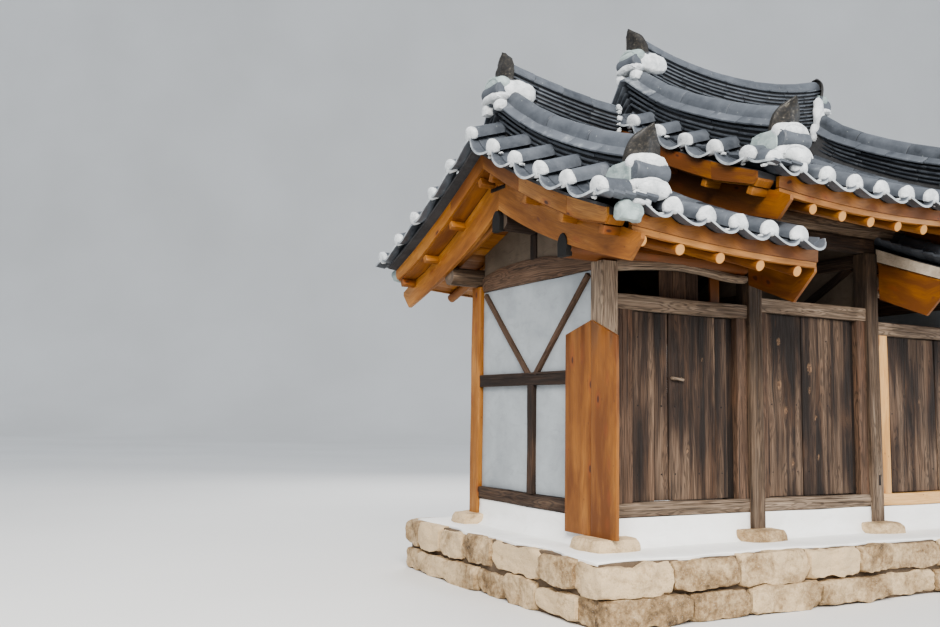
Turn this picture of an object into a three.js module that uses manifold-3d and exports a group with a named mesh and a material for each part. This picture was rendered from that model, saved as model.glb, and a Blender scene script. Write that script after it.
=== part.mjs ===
// Gatehouse of a hanok compound: three bays under tiled gable roofs, the gate bay's roof raised.
// Millimetres. X runs along the front, Y from the front to the rear, Z up.
// The origin is on the ground, in the middle of the gate bay and of the depth.

import * as THREE from 'three';
import { mergeVertices } from 'three/addons/utils/BufferGeometryUtils.js';
import Module from 'manifold-3d';

const wasm = await Module();
wasm.setup();

// Plan: post lines, measured to the middle of each post.
const gateBay = 1600;
const sideBay = 1650;
const depth = 2050;
const postSize = 165;
const gap = 0.3;

const gateX = gateBay / 2;
const cornerX = gateX + sideBay;
const wallY = depth / 2;
const halfPost = postSize / 2;

// Platform of rough stone with a lime floor let into its top.
const platformLength = 5940;
const platformDepth = 3300;
const floorZ = 500;
const floorThickness = 30;
const kerbWidth = 150;
const postFootZ = 600;
const baseStoneTop = 185;
const baseStoneFoot = 230;

// Door bays.
const sillTop = 860;
const sillHeight = 120;
const sillDepth = 120;
const lintelHeight = 130;
const jambDepth = 90;
const leafThickness = 40;
const leafClearance = 6;
const leafGap = 10;
const stileRadius = 18;
const pinRadius = 12;
const pinLength = 26;
const pinHoleRadius = 12.9;
const footWallDepth = 100;

// Roof timbers.
const purlinZ = 2950;
const purlinRadius = 95;
const ridgePurlinRadius = 90;
const purlinSides = 12;
const raise = 520;
const plateHeight = 148;
const plateDepth = 110;
const lowPlateFoot = 2775;
const lowPlateDepth = 90;
const rafterRadius = 47;
const rafterSides = 10;
const rafterSlope = 0.37;
const rafterTipY = 1875;
const rafterBite = 42;
const deckThickness = 33;
const deckEdgeY = 1900;
const eaveBoardDepth = 50;
const eaveBoardTop = 130;
const lowRafterX = [-2740, -2370, -1960, -1530, -1110];
const raisedRafterX = [-1210, -905, -543, -181, 181, 543, 905, 1210];

// Tiled roof mass: a hollow curve from the ridge to the eave, lifted towards the gable.
const bedRidgeZ = 3885;
const bedFall = 0.58;
const bedCurve = 0.0629e-3;
const bedEdgeY = 2050;
const vergeThickness = 200;
const overhangX = -3060;
const overhangThickness = 60;
const tuckedTop = 3750;
const bedSink = 8;
const low = { verge: -3240, board: -2880, inner: -895, lift: 148, rise: 0 };
const raised = { verge: -1590, board: -1350, inner: 1590, lift: 95, rise: raise };
const boardThickness = 35;
const boardTipY = 2035;
const boardTipDrop = 40;

// Rows of half-round cover tiles: [across, over the bed] of their section, and where the rows lie.
const coverSection = [[-78, 80], [-52, 130], [0, 148], [52, 130], [78, 80]];
const coverSink = 30;
const coverSetback = 70;
const coverEndY = 1940;
const coverStops = [350, 650, 950, 1250, 1550, 1845];
const lowCoverX = [-2536, -2202, -1868, -1534];
const tuckedCoverX = -1200;
const tuckedCoverY = 1150;
const raisedCoverX = [-850, -510, -170, 170, 510, 850];
const lowVergeRows = [390, 760, 1150, 1530, 1930];
const raisedVergeRows = [260, 630, 1000, 1370, 1760];

// Ridges.
const ridgeHalf = 110;
const ridgeCapHalf = 60;
const ridgeShoulder = 130;
const hipHeight = 560;
const hipHalf = 100;
const hipCapHalf = 55;
const hipShoulder = 130;
const hipEndY = 1900;
const hipX = -2735;
const gateHipX = -1220;
const lowRidgeEnd = -2860;

const look = {
  oldWood: { color: 0x6b5646, roughness: 0.85, metalness: 0 },
  newWood: { color: 0xc98a45, roughness: 0.65, metalness: 0 },
  plaster: { color: 0xc9ced2, roughness: 0.9, metalness: 0 },
  lime: { color: 0xeeece6, roughness: 0.9, metalness: 0 },
  stone: { color: 0xb39c82, roughness: 0.9, metalness: 0 },
  tile: { color: 0x3d434b, roughness: 0.55, metalness: 0 },
};

const house = new THREE.Group();

// Solids

function closed(geometry) {
  const bare = geometry.clone();
  bare.deleteAttribute('normal');
  bare.deleteAttribute('uv');
  return mergeVertices(bare, 1e-3);
}

function solid(geometry) {
  const merged = closed(geometry);
  const mesh = new wasm.Mesh({
    numProp: 3,
    vertProperties: new Float32Array(merged.attributes.position.array),
    triVerts: new Uint32Array(merged.index.array),
  });
  return new wasm.Manifold(mesh);
}

function fromSolid(manifold) {
  const mesh = manifold.getMesh();
  const geometry = new THREE.BufferGeometry();
  geometry.setAttribute('position', new THREE.BufferAttribute(mesh.vertProperties, 3));
  geometry.setIndex(new THREE.BufferAttribute(mesh.triVerts, 1));
  return geometry;
}

function join(...geometries) {
  return fromSolid(geometries.map(solid).reduce((sum, piece) => sum.add(piece)));
}

function cut(geometry, ...tools) {
  return fromSolid(tools.map(solid).reduce((rest, tool) => rest.subtract(tool), solid(geometry)));
}

function box(x0, x1, y0, y1, z0, z1) {
  const geometry = new THREE.BoxGeometry(x1 - x0, y1 - y0, z1 - z0);
  return geometry.translate((x0 + x1) / 2, (y0 + y1) / 2, (z0 + z1) / 2);
}

// A flat outline of [y, z] points, thick along X.
function plateX(points, x0, x1) {
  const shape = new THREE.Shape(points.map(([y, z]) => new THREE.Vector2(y, z)));
  const geometry = new THREE.ExtrudeGeometry(shape, { depth: x1 - x0, bevelEnabled: false });
  const turn = new THREE.Matrix4().makeBasis(
    new THREE.Vector3(0, 1, 0),
    new THREE.Vector3(0, 0, 1),
    new THREE.Vector3(1, 0, 0),
  );
  return geometry.applyMatrix4(turn).translate(x0, 0, 0);
}

// A round timber between two points, with flat facets above and below.
function log(from, to, radius, sides) {
  const start = new THREE.Vector3(...from);
  const axis = new THREE.Vector3(...to).sub(start);
  const geometry = new THREE.CylinderGeometry(
    radius, radius, axis.length(), sides, 1, false, Math.PI / sides,
  );
  const along = axis.clone().normalize();
  const up = new THREE.Vector3(0, 0, 1).addScaledVector(along, -along.z).normalize();
  const across = new THREE.Vector3().crossVectors(along, up);
  const turn = new THREE.Matrix4().makeBasis(across, along, up);
  return geometry.applyMatrix4(turn).translate(...start.addScaledVector(axis, 0.5).toArray());
}

function pin(x, y, z0, z1, radius) {
  const geometry = new THREE.CylinderGeometry(radius, radius, z1 - z0, purlinSides);
  return geometry.rotateX(Math.PI / 2).translate(x, y, (z0 + z1) / 2);
}

// A sheet over a grid of x and y values, between two height functions.
function sheet(xs, ys, top, bottom) {
  const nx = xs.length - 1;
  const ny = ys.length - 1;
  const geometry = new THREE.BoxGeometry(1, 1, 1, nx, ny, 1);
  const place = geometry.attributes.position;
  for (let i = 0; i < place.count; i += 1) {
    const x = xs[Math.round((place.getX(i) + 0.5) * nx)];
    const y = ys[Math.round((place.getY(i) + 0.5) * ny)];
    place.setXYZ(i, x, y, place.getZ(i) > 0 ? top(x, y) : bottom(x, y));
  }
  return geometry;
}

function mirrored(geometry) {
  const copy = closed(geometry).scale(-1, 1, 1);
  const index = copy.index.array;
  for (let i = 0; i < index.length; i += 3) {
    [index[i], index[i + 1]] = [index[i + 1], index[i]];
  }
  return copy;
}

function add(name, geometry, finish) {
  const shape = geometry.index ? geometry.toNonIndexed() : geometry;
  shape.computeVertexNormals();
  const mesh = new THREE.Mesh(shape, new THREE.MeshStandardMaterial(finish));
  mesh.name = name;
  house.add(mesh);
}

function addPair(name, geometry, finish) {
  add(`${name}_left`, geometry, finish);
  add(`${name}_right`, mirrored(geometry), finish);
}

function bothWays(values) {
  return [...values.map((value) => -value), ...values.slice().reverse().filter((value) => value > 0)];
}

// Heights of the roof

const slopeCos = 1 / Math.hypot(1, rafterSlope);
const purlinReach = Math.cos(Math.atan(rafterSlope) - Math.PI / purlinSides);
const rafterFlat = rafterRadius * Math.cos(Math.PI / rafterSides);
const purlinFlat = Math.cos(Math.PI / purlinSides);

function rafterAt(y) {
  const seat = purlinZ + (purlinRadius * purlinReach + rafterFlat + gap) / slopeCos;
  return seat + rafterSlope * (wallY - Math.abs(y));
}

const ridgePurlinZ = rafterAt(0) - (ridgePurlinRadius * purlinReach + rafterFlat + gap) / slopeCos;

function cornerLift(roof, x) {
  const length = roof === low ? roof.inner - roof.verge : -roof.verge;
  const from = roof === low ? roof.inner - x : Math.abs(x);
  return roof.lift * Math.max(0, from / length) ** 2;
}

function eaveLift(roof, x, y) {
  return cornerLift(roof, x) * Math.max(0, (Math.abs(y) - wallY) / (rafterTipY - wallY));
}

function timberAt(roof, x, y) {
  return rafterAt(y) + eaveLift(roof, x, y) + roof.rise;
}

function bedTop(roof, x, y) {
  const out = Math.abs(y);
  const height = bedRidgeZ - bedFall * out + bedCurve * out * out + roof.rise + cornerLift(roof, x);
  return roof === low && x > raised.board - 8 ? Math.min(height, tuckedTop) : height;
}

// Stone platform, base stones and lime floor

function baseStone(x, y, grow) {
  const top = baseStoneTop + grow;
  const foot = baseStoneFoot + grow;
  const height = postFootZ - floorZ + 2 * floorThickness;
  const geometry = new THREE.CylinderGeometry(top, foot, height, 8, 1, false, Math.PI / 8);
  return geometry.rotateX(Math.PI / 2).translate(x, y, postFootZ - height / 2 + grow);
}

const postPlaces = [];
for (const x of [-cornerX, -gateX, gateX, cornerX]) {
  for (const y of [-wallY, wallY]) {
    postPlaces.push([x, y]);
  }
}

const slabX = platformLength / 2 - kerbWidth;
const slabY = platformDepth / 2 - kerbWidth;
const platformBlock = cut(
  box(-platformLength / 2, platformLength / 2, -platformDepth / 2, platformDepth / 2, 0, floorZ),
  box(-slabX, slabX, -slabY, slabY, floorZ - floorThickness, floorZ + 10),
);
add('stone_platform', join(platformBlock, ...postPlaces.map(([x, y]) => baseStone(x, y, 0))), look.stone);

const footTop = sillTop - sillHeight - gap;
const footHalf = footWallDepth / 2;
const footWalls = [
  box(-cornerX, cornerX, -wallY - footHalf, -wallY + footHalf, floorZ - 5, footTop),
  box(-cornerX, -gateX, wallY - footHalf, wallY + footHalf, floorZ - 5, footTop),
  box(gateX, cornerX, wallY - footHalf, wallY + footHalf, floorZ - 5, footTop),
  box(-cornerX - footHalf, -cornerX + footHalf, -wallY, wallY, floorZ - 5, footTop),
  box(cornerX - footHalf, cornerX + footHalf, -wallY, wallY, floorZ - 5, footTop),
];
const postHoles = postPlaces.map(([x, y]) => box(
  x - halfPost - gap, x + halfPost + gap, y - halfPost - gap, y + halfPost + gap, floorZ, sillTop,
));
const floorSlab = box(
  gap - slabX, slabX - gap, gap - slabY, slabY - gap, floorZ - floorThickness + gap, floorZ,
);
add(
  'lime_floor',
  cut(join(floorSlab, ...footWalls), ...postHoles, ...postPlaces.map(([x, y]) => baseStone(x, y, gap))),
  look.lime,
);

// Posts

function post(x, y, top) {
  return box(x - halfPost, x + halfPost, y - halfPost, y + halfPost, postFootZ + gap, top);
}

const lowPostTop = purlinZ - purlinRadius * purlinFlat - gap;
const gatePostTop = purlinZ + raise - purlinRadius * purlinFlat - plateHeight - gap;
addPair('corner_post_front', post(-cornerX, -wallY, lowPostTop), look.oldWood);
addPair('corner_post_rear', post(-cornerX, wallY, lowPostTop), look.newWood);
addPair('gate_post_front', post(-gateX, -wallY, gatePostTop), look.oldWood);
addPair('gate_post_rear', post(-gateX, wallY, gatePostTop), look.oldWood);

// Door frames and leaves. Each bay gives its posts, the opening and the seam between the leaves.

const bays = [
  { side: 'left', posts: [-cornerX, -gateX], opening: [-2190, -1100], seam: -1785, lintelTop: 2596 },
  { side: 'middle', posts: [-gateX, gateX], opening: [-630, 530], seam: -160, lintelTop: 2675 },
  { side: 'right', posts: [gateX, cornerX], opening: [1040, 2190], seam: 1805, lintelTop: 2550 },
];

const stileClear = stileRadius + leafClearance;
const leafRearY = -wallY + leafThickness / 2;

function hingeLines(bay) {
  return [bay.opening[0] + stileClear, bay.opening[1] - stileClear];
}

function doorFrame(bay) {
  const x0 = bay.posts[0] + halfPost + gap;
  const x1 = bay.posts[1] - halfPost - gap;
  const lintelFoot = bay.lintelTop - lintelHeight;
  const beamY = [-wallY - sillDepth / 2, -wallY + sillDepth / 2];
  const jambY = [-wallY - jambDepth / 2, -wallY + jambDepth / 2];
  const timbers = [
    box(x0, x1, ...beamY, sillTop - sillHeight, sillTop),
    box(x0, x1, ...beamY, lintelFoot, bay.lintelTop),
    box(x0, bay.opening[0], ...jambY, sillTop - 5, lintelFoot + 5),
    box(bay.opening[1], x1, ...jambY, sillTop - 5, lintelFoot + 5),
  ];
  const holes = [];
  for (const x of hingeLines(bay)) {
    holes.push(pin(x, leafRearY, sillTop - pinLength, sillTop + 1, pinHoleRadius));
    holes.push(pin(x, leafRearY, lintelFoot - 1, lintelFoot + pinLength, pinHoleRadius));
  }
  return cut(join(...timbers), ...holes);
}

function doorLeaf(bay, hinge, edge) {
  const foot = sillTop + leafClearance;
  const top = bay.lintelTop - lintelHeight - leafClearance;
  const x0 = Math.min(hinge, edge);
  const x1 = Math.max(hinge, edge);
  return join(
    box(x0, x1, leafRearY - leafThickness, leafRearY, foot, top),
    pin(hinge, leafRearY, foot, top, stileRadius),
    pin(hinge, leafRearY, sillTop - pinLength + leafClearance, foot + 1, pinRadius),
    pin(hinge, leafRearY, top - 1, top + pinLength, pinRadius),
  );
}

for (const bay of bays) {
  const [hingeLeft, hingeRight] = hingeLines(bay);
  add(`door_frame_${bay.side}`, doorFrame(bay), look.oldWood);
  add(`door_${bay.side}_a`, doorLeaf(bay, hingeLeft, bay.seam - leafGap / 2), look.oldWood);
  add(`door_${bay.side}_b`, doorLeaf(bay, hingeRight, bay.seam + leafGap / 2), look.oldWood);
}

// Gable walls: plaster panel, outer timber frame, arched tie beam with its king post, plastered peak

const panelHalf = 35;
const frameProud = 35;
const innerY = wallY - halfPost - gap;
const tieFoot = 2800;
const peakY = wallY - purlinRadius - 5;
const kingHalf = 55;
const kingThick = 55;
const ridgePurlinFoot = ridgePurlinZ - ridgePurlinRadius * purlinFlat;

const gableX = -cornerX;
addPair(
  'gable_wall',
  box(gableX - panelHalf, gableX + panelHalf, -innerY, innerY, sillTop + gap, tieFoot - gap),
  look.plaster,
);

function brace(x0, x1, from, to, width) {
  const [y0, z0] = from;
  const [y1, z1] = to;
  const length = Math.hypot(y1 - y0, z1 - z0);
  const side = [(-(z1 - z0) / length) * (width / 2), ((y1 - y0) / length) * (width / 2)];
  return plateX([
    [y0 - side[0], z0 - side[1]],
    [y1 - side[0], z1 - side[1]],
    [y1 + side[0], z1 + side[1]],
    [y0 + side[0], z0 + side[1]],
  ], x0, x1);
}

const frameOut = gableX - panelHalf - frameProud;
const frameIn = gableX - panelHalf - gap;
const railZ = [1840, 1960];
addPair(
  'gable_frame',
  join(
    box(frameOut, gableX + sillDepth / 2, -innerY, innerY, sillTop - sillHeight, sillTop),
    box(frameOut, frameIn, -50, 50, sillTop - 5, railZ[0] + 5),
    box(frameOut, frameIn, -innerY, innerY, ...railZ),
    brace(frameOut, frameIn, [-60, railZ[1] - 20], [-880, tieFoot - 40], 62),
    brace(frameOut, frameIn, [60, railZ[1] - 20], [880, tieFoot - 40], 62),
  ),
  look.oldWood,
);

const tieOutline = [
  [-innerY, tieFoot],
  [innerY, tieFoot],
  [innerY, 2880],
  [peakY, 2960],
  [600, 3012],
  [200, 3030],
  [-200, 3018],
  [-600, 2960],
  [-innerY, 2895],
];
addPair(
  'tie_beam',
  join(
    plateX(tieOutline, gableX - kingThick, gableX + kingThick),
    box(gableX - kingThick, gableX + kingThick, -kingHalf, kingHalf, 3000, ridgePurlinFoot - gap),
  ),
  look.oldWood,
);

// The peak fills the triangle between the tie beam and the roof boards, around the king post and purlin.
const peakX = [gableX - 40, gableX + 20];
const peakOutline = [
  [-peakY, tieFoot + 50],
  [peakY, tieFoot + 50],
  [peakY, rafterAt(peakY) + rafterBite - gap],
  [0, rafterAt(0) + rafterBite - gap],
  [-peakY, rafterAt(peakY) + rafterBite - gap],
];
addPair(
  'gable_peak',
  cut(
    plateX(peakOutline, ...peakX),
    plateX(tieOutline, gableX - 200, gableX + 200).translate(0, 0, gap),
    box(gableX - 200, gableX + 200, -kingHalf - gap, kingHalf + gap, tieFoot, ridgePurlinZ),
    log(
      [gableX - 200, 0, ridgePurlinZ], [gableX + 200, 0, ridgePurlinZ],
      ridgePurlinRadius + 0.5, purlinSides,
    ),
  ),
  look.plaster,
);

// Rear walls of the side bays: plaster between sill, rail and head, all in one wall

const sideFaces = [-cornerX + halfPost + gap, -gateX - halfPost - gap];
addPair(
  'rear_wall',
  join(
    box(...sideFaces, wallY - panelHalf, wallY + panelHalf, sillTop - 5, lowPostTop - 40),
    box(...sideFaces, wallY - sillDepth / 2, wallY + sillDepth / 2, sillTop - sillHeight, sillTop),
    box(...sideFaces, wallY - 55, wallY + 55, ...railZ),
    box(...sideFaces, wallY - 55, wallY + 55, 2466, 2596),
  ),
  look.plaster,
);

// Frames over the passages between the bays: rail, braces, tie beam, king post and plaster above

const headRail = [2620, 2700];
const gateTie = [3090, 3230];
const panelPeak = (y) => rafterAt(y) + raise + rafterBite - gap;
const raisedRidgeZ = ridgePurlinZ + raise;
addPair(
  'inner_frame',
  cut(
    join(
      box(-gateX - 55, -gateX + 55, -innerY, innerY, ...headRail),
      box(-gateX - 55, -gateX + 55, -innerY, innerY, ...gateTie),
      brace(-gateX - 45, -gateX + 45, [-110, headRail[1] - 20], [-880, gateTie[0] + 20], 90),
      brace(-gateX - 45, -gateX + 45, [110, headRail[1] - 20], [880, gateTie[0] + 20], 90),
      box(
        -gateX - 55, -gateX + 55, -kingHalf, kingHalf,
        gateTie[1] - 5, raisedRidgeZ - ridgePurlinRadius * purlinFlat - gap,
      ),
      plateX([
        [-peakY, headRail[0] + 5],
        [peakY, headRail[0] + 5],
        [peakY, panelPeak(peakY)],
        [0, panelPeak(0)],
        [-peakY, panelPeak(peakY)],
      ], -gateX - 30, -gateX + 30),
    ),
    log(
      [-gateX - 200, 0, raisedRidgeZ], [-gateX + 200, 0, raisedRidgeZ],
      ridgePurlinRadius + 0.5, purlinSides,
    ),
  ),
  look.oldWood,
);

// Purlins

const lowPurlinX = [low.board + boardThickness + gap, -gateX - halfPost - gap];
const raisedPurlinX = -raised.board - boardThickness - gap;
const purlin = (x0, x1, y, z, radius) => log([x0, y, z], [x1, y, z], radius, purlinSides);
const lowPlateY = [-wallY - lowPlateDepth / 2, -wallY + lowPlateDepth / 2];
addPair(
  'purlin_front',
  join(
    purlin(...lowPurlinX, -wallY, purlinZ, purlinRadius),
    box(...sideFaces, ...lowPlateY, lowPlateFoot, purlinZ),
  ),
  look.oldWood,
);
addPair('purlin_rear', purlin(...lowPurlinX, wallY, purlinZ, purlinRadius), look.oldWood);
addPair(
  'ridge_purlin',
  purlin(lowPurlinX[0], -gateX - 55 - gap, 0, ridgePurlinZ, ridgePurlinRadius),
  look.oldWood,
);

function gatePurlin(y) {
  const z = purlinZ + raise;
  const foot = z - purlinRadius * purlinFlat - plateHeight;
  return join(
    purlin(-raisedPurlinX, raisedPurlinX, y, z, purlinRadius),
    box(-gateX - halfPost, gateX + halfPost, y - plateDepth / 2, y + plateDepth / 2, foot, z),
  );
}

add('gate_purlin_front', gatePurlin(-wallY), look.oldWood);
add('gate_purlin_rear', gatePurlin(wallY), look.oldWood);
add(
  'gate_ridge_purlin',
  purlin(-raisedPurlinX, raisedPurlinX, 0, raisedRidgeZ, ridgePurlinRadius),
  look.oldWood,
);

// Rafters, roof boards and eave boards

function rafters(roof, places) {
  const logs = [];
  for (const x of places) {
    for (const side of [-1, 1]) {
      const kink = [x, side * wallY, timberAt(roof, x, wallY)];
      const tip = [x, side * rafterTipY, timberAt(roof, x, rafterTipY)];
      const apex = [x, -side * 12, rafterAt(0) + 12 * rafterSlope + roof.rise];
      const back = [x, side * (wallY - 25), timberAt(roof, x, wallY - 25)];
      logs.push(log(apex, kink, rafterRadius, rafterSides));
      logs.push(log(back, tip, rafterRadius - 0.5, rafterSides));
    }
  }
  return logs;
}

function deck(roof, xs) {
  const under = (x, y) => timberAt(roof, x, y) + rafterBite;
  const over = (x, y) => under(x, y) + deckThickness;
  const edge = (x, y) => timberAt(roof, x, y) + eaveBoardTop;
  return [
    sheet(xs, bothWays([deckEdgeY, wallY, 0]).filter((y, i, all) => y !== all[i - 1]), over, under),
    sheet(xs, [-deckEdgeY, -deckEdgeY + eaveBoardDepth], edge, under),
    sheet(xs, [deckEdgeY - eaveBoardDepth, deckEdgeY], edge, under),
  ];
}

// The board that closes the inner end of a low roof's eave, in front of the gate post.
function innerEndBoard(side) {
  const clear = wallY + halfPost + 18;
  const outline = [
    [-clear, 2770],
    [-1635, 2565],
    [-1870, 2800],
    [-1870, rafterAt(1870) + rafterBite + 20],
    [-clear, rafterAt(clear) + rafterBite + 20],
  ];
  const turned = side < 0 ? outline : outline.map(([y, z]) => [-y, z]).reverse();
  return plateX(turned, low.inner - 10, low.inner + 22);
}

const tuckX = raised.board - 15;
const lowDeckX = [low.board + boardThickness + gap, -2500, -2100, -1700, tuckX, low.inner];
addPair(
  'rafters',
  join(...deck(low, lowDeckX), ...rafters(low, lowRafterX), innerEndBoard(-1), innerEndBoard(1)),
  look.newWood,
);
const raisedDeckX = [-raisedPurlinX, -800, -400, 0, 400, 800, raisedPurlinX];
add(
  'rafters_middle',
  join(...deck(raised, raisedDeckX), ...rafters(raised, raisedRafterX)),
  look.newWood,
);

// Tiled roof masses

const eaveStepY = deckEdgeY - eaveBoardDepth + gap;
const bedY = bothWays([
  bedEdgeY, eaveStepY - 2 * gap, eaveStepY - 6, 1550, 1250, 950, 650, 350, ridgeHalf, 0,
]).filter((y, i, all) => y !== all[i - 1]);

function deckTop(roof, x, y) {
  const step = Math.abs(y) > eaveStepY - 1 ? eaveBoardTop : rafterBite + deckThickness;
  return timberAt(roof, x, y) + step;
}

// Beyond the edge board of a low roof only the tiles run on, over their own thickness.
function vergeFoot(roof, x, y) {
  const thickness = x < overhangX ? overhangThickness : vergeThickness;
  return Math.max(bedTop(roof, x, y) - thickness, deckTop(roof, x, y));
}

// The bed is modelled a little too deep and then cut to the boards that it lies on.
function bedFoot(roof, x, y) {
  const outside = roof === low ? x < lowDeckX[0] + 1 : Math.abs(x) > raisedPurlinX - 1;
  return (outside ? vergeFoot(roof, x, y) : deckTop(roof, x, y)) - bedSink;
}

const lowBedX = [
  low.verge, overhangX - 5, overhangX, lowDeckX[0], lowDeckX[0] + 5, -2500, -2100, -1700,
  tuckX, tuckX + 10, low.inner,
];
const raisedBedX = bothWays([-raised.verge, raisedPurlinX, raisedPurlinX - 5, 800, 400, 0])
  .filter((x, i, all) => x !== all[i - 1]);

// Bargeboards: one pair of boards to a gable, meeting at the peak

function bargeboards(roof) {
  const inner = roof.board + boardThickness;
  const drop = cornerLift(low, low.board) - cornerLift(roof, roof.board);
  const under = [[0, 3440], [935, 3010], [1545, 2810], [1895, 2710], [boardTipY, 2850]]
    .map(([y, z]) => [y, z - drop + roof.rise]);
  const over = bedY
    .filter((y) => y >= 0 && y < boardTipY)
    .map((y) => [y, vergeFoot(roof, inner, y)]);
  const tip = [boardTipY, vergeFoot(roof, inner, boardTipY) - boardTipDrop];
  const half = [...under, tip, ...over.reverse()];
  const other = half.slice(1, -1).map(([y, z]) => [-y, z]).reverse();
  return plateX([...half, ...other], roof.board, inner);
}

const lowBoards = bargeboards(low);
const raisedBoards = bargeboards(raised);
addPair('bargeboards', lowBoards, look.newWood);
addPair('gate_bargeboards', raisedBoards, look.newWood);

function bed(roof, xs, boards) {
  const whole = sheet(xs, bedY, (x, y) => bedTop(roof, x, y), (x, y) => bedFoot(roof, x, y));
  return cut(whole, ...boards.map((board) => board.clone().translate(0, 0, gap)));
}

const lowBed = bed(low, lowBedX, [...deck(low, lowDeckX), lowBoards]);
const raisedBed = bed(raised, raisedBedX, [
  ...deck(raised, raisedDeckX), raisedBoards, mirrored(raisedBoards),
]);

function coverRise(across) {
  return coverSection.find(([offset]) => Math.abs(offset - across) < 1)[1];
}

function slopeCover(roof, row, side, startY) {
  const stops = [startY, ...coverStops.filter((y) => y > startY + 1), coverEndY];
  const ys = side < 0 ? stops.map((y) => -y).reverse() : stops;
  return sheet(
    coverSection.map(([offset]) => row + offset),
    ys,
    (x, y) => bedTop(roof, row, y) + coverRise(x - row),
    (x, y) => bedTop(roof, row, y) - coverSink,
  );
}

// A short cover tile across the verge, from a ridge's side outward.
function vergeCover(roof, end, start, row) {
  const inner = Math.abs(start) + gap;
  const outer = Math.abs(roof.verge) - coverSetback;
  return sheet(
    end < 0 ? [-outer, -inner] : [inner, outer],
    coverSection.map(([offset]) => row + offset),
    (x, y) => bedTop(roof, x, row) + coverRise(y - row),
    (x, y) => bedTop(roof, x, y) - coverSink,
  );
}

const hipSide = hipX - hipHalf;
const gateHipSide = gateHipX - hipHalf;
const lowCovers = [-1, 1].flatMap((side) => [
  ...lowCoverX.map((row) => slopeCover(low, row, side, ridgeHalf + gap)),
  slopeCover(low, tuckedCoverX, side, tuckedCoverY),
  ...lowVergeRows.map((row) => vergeCover(low, -1, hipSide, side * row)),
]);
const raisedCovers = [-1, 1].flatMap((side) => [
  ...raisedCoverX.map((row) => slopeCover(raised, row, side, ridgeHalf + gap)),
  ...raisedVergeRows.map((row) => vergeCover(raised, -1, gateHipSide, side * row)),
  ...raisedVergeRows.map((row) => vergeCover(raised, 1, gateHipSide, side * row)),
]);
addPair('roof_tiles', join(lowBed, ...lowCovers, vergeCover(low, -1, lowRidgeEnd, 0)), look.tile);
add('roof_tiles_middle', join(raisedBed, ...raisedCovers), look.tile);

// Ridges: the main ridge with the sloping ridges at each gable

function ridgeRun(xs, topAt, floor) {
  const top = (x, y) => topAt(x) - (Math.abs(y) > ridgeCapHalf + 1 ? ridgeShoulder : 0);
  return sheet(xs, [-ridgeHalf, -ridgeCapHalf, ridgeCapHalf, ridgeHalf], top, () => floor);
}

function slopingRidge(roof, x, side) {
  const stops = [0, 350, 650, 950, 1250, 1550, hipEndY];
  const ys = side < 0 ? stops.map((y) => -y).reverse() : stops;
  const xs = [x - hipHalf, x - hipCapHalf, x + hipCapHalf, x + hipHalf];
  const top = (px, y) => bedTop(roof, x, y) + hipHeight - (Math.abs(px - x) > hipCapHalf + 1 ? hipShoulder : 0);
  return sheet(xs, ys, top, (px, y) => bedTop(roof, x, y) - 40);
}

// A tall curved end tile at the foot of a sloping ridge.
function slopingEnd(roof, x, side) {
  const z = bedTop(roof, x, hipEndY);
  const lean = [
    [side * (hipEndY - 60), z + 120],
    [side * (hipEndY - 40), z + hipHeight - 60],
    [side * (hipEndY + 90), z + hipHeight + 90],
    [side * (hipEndY + 150), z + hipHeight - 40],
    [side * (hipEndY + 60), z + 160],
  ];
  return plateX(side < 0 ? lean : lean.reverse(), x - hipHalf, x + hipHalf);
}

function peakTile(x0, x1, top) {
  return plateX([
    [-ridgeHalf, top - 330],
    [ridgeHalf, top - 330],
    [85, top - 90],
    [30, top],
    [-30, top],
    [-85, top - 90],
  ], x0, x1);
}

const lowRidgeX = [lowRidgeEnd, -2700, -2440, -2040, -1790, raised.verge - 5];
const lowRidgeTop = (x) => 4690 + 140 * Math.max(0, (-1600 - x) / 1200) ** 1.6;
addPair(
  'ridge',
  cut(
    join(
      ridgeRun(lowRidgeX, lowRidgeTop, bedRidgeZ - 80),
      slopingRidge(low, hipX, -1),
      slopingRidge(low, hipX, 1),
      slopingEnd(low, hipX, -1),
      slopingEnd(low, hipX, 1),
      peakTile(-2905, -2855, 4940),
    ),
    lowBed.clone().translate(0, 0, gap),
  ),
  look.tile,
);

const raisedRidgeX = [-1350, -1220, -900, -580, 0, 580, 900, 1220, 1350];
const raisedRidgeTop = (x) => 5250 + 200 * (Math.abs(x) / 1350) ** 2.2;
add(
  'ridge_middle',
  cut(
    join(
      ridgeRun(raisedRidgeX, raisedRidgeTop, bedRidgeZ + raise - 80),
      ...[-1, 1].flatMap((end) => [-1, 1].flatMap((side) => [
        slopingRidge(raised, end * gateHipX, side),
        slopingEnd(raised, end * gateHipX, side),
      ])),
      peakTile(-1390, -1345, 5500),
      peakTile(1345, 1390, 5500),
    ),
    raisedBed.clone().translate(0, 0, gap),
  ),
  look.tile,
);

// The board that closes off the side of the front left corner post

const endBoardX = gableX - halfPost - gap;
add(
  'wall_end_board',
  plateX([
    [-1335, postFootZ + gap],
    [-625, postFootZ + gap],
    [-625, 2260],
    [-995, 2360],
    [-1335, 2210],
  ], endBoardX - 32, endBoardX),
  look.newWood,
);

export default house;
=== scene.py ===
"""Gatehouse of a hanok compound: three bays under tiled gable roofs, the gate bay's roof raised.

Metres. X runs along the front, Y from the front to the rear, Z up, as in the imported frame.
"""
import math

import bpy
import numpy as np
from mathutils import Matrix, Vector


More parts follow.
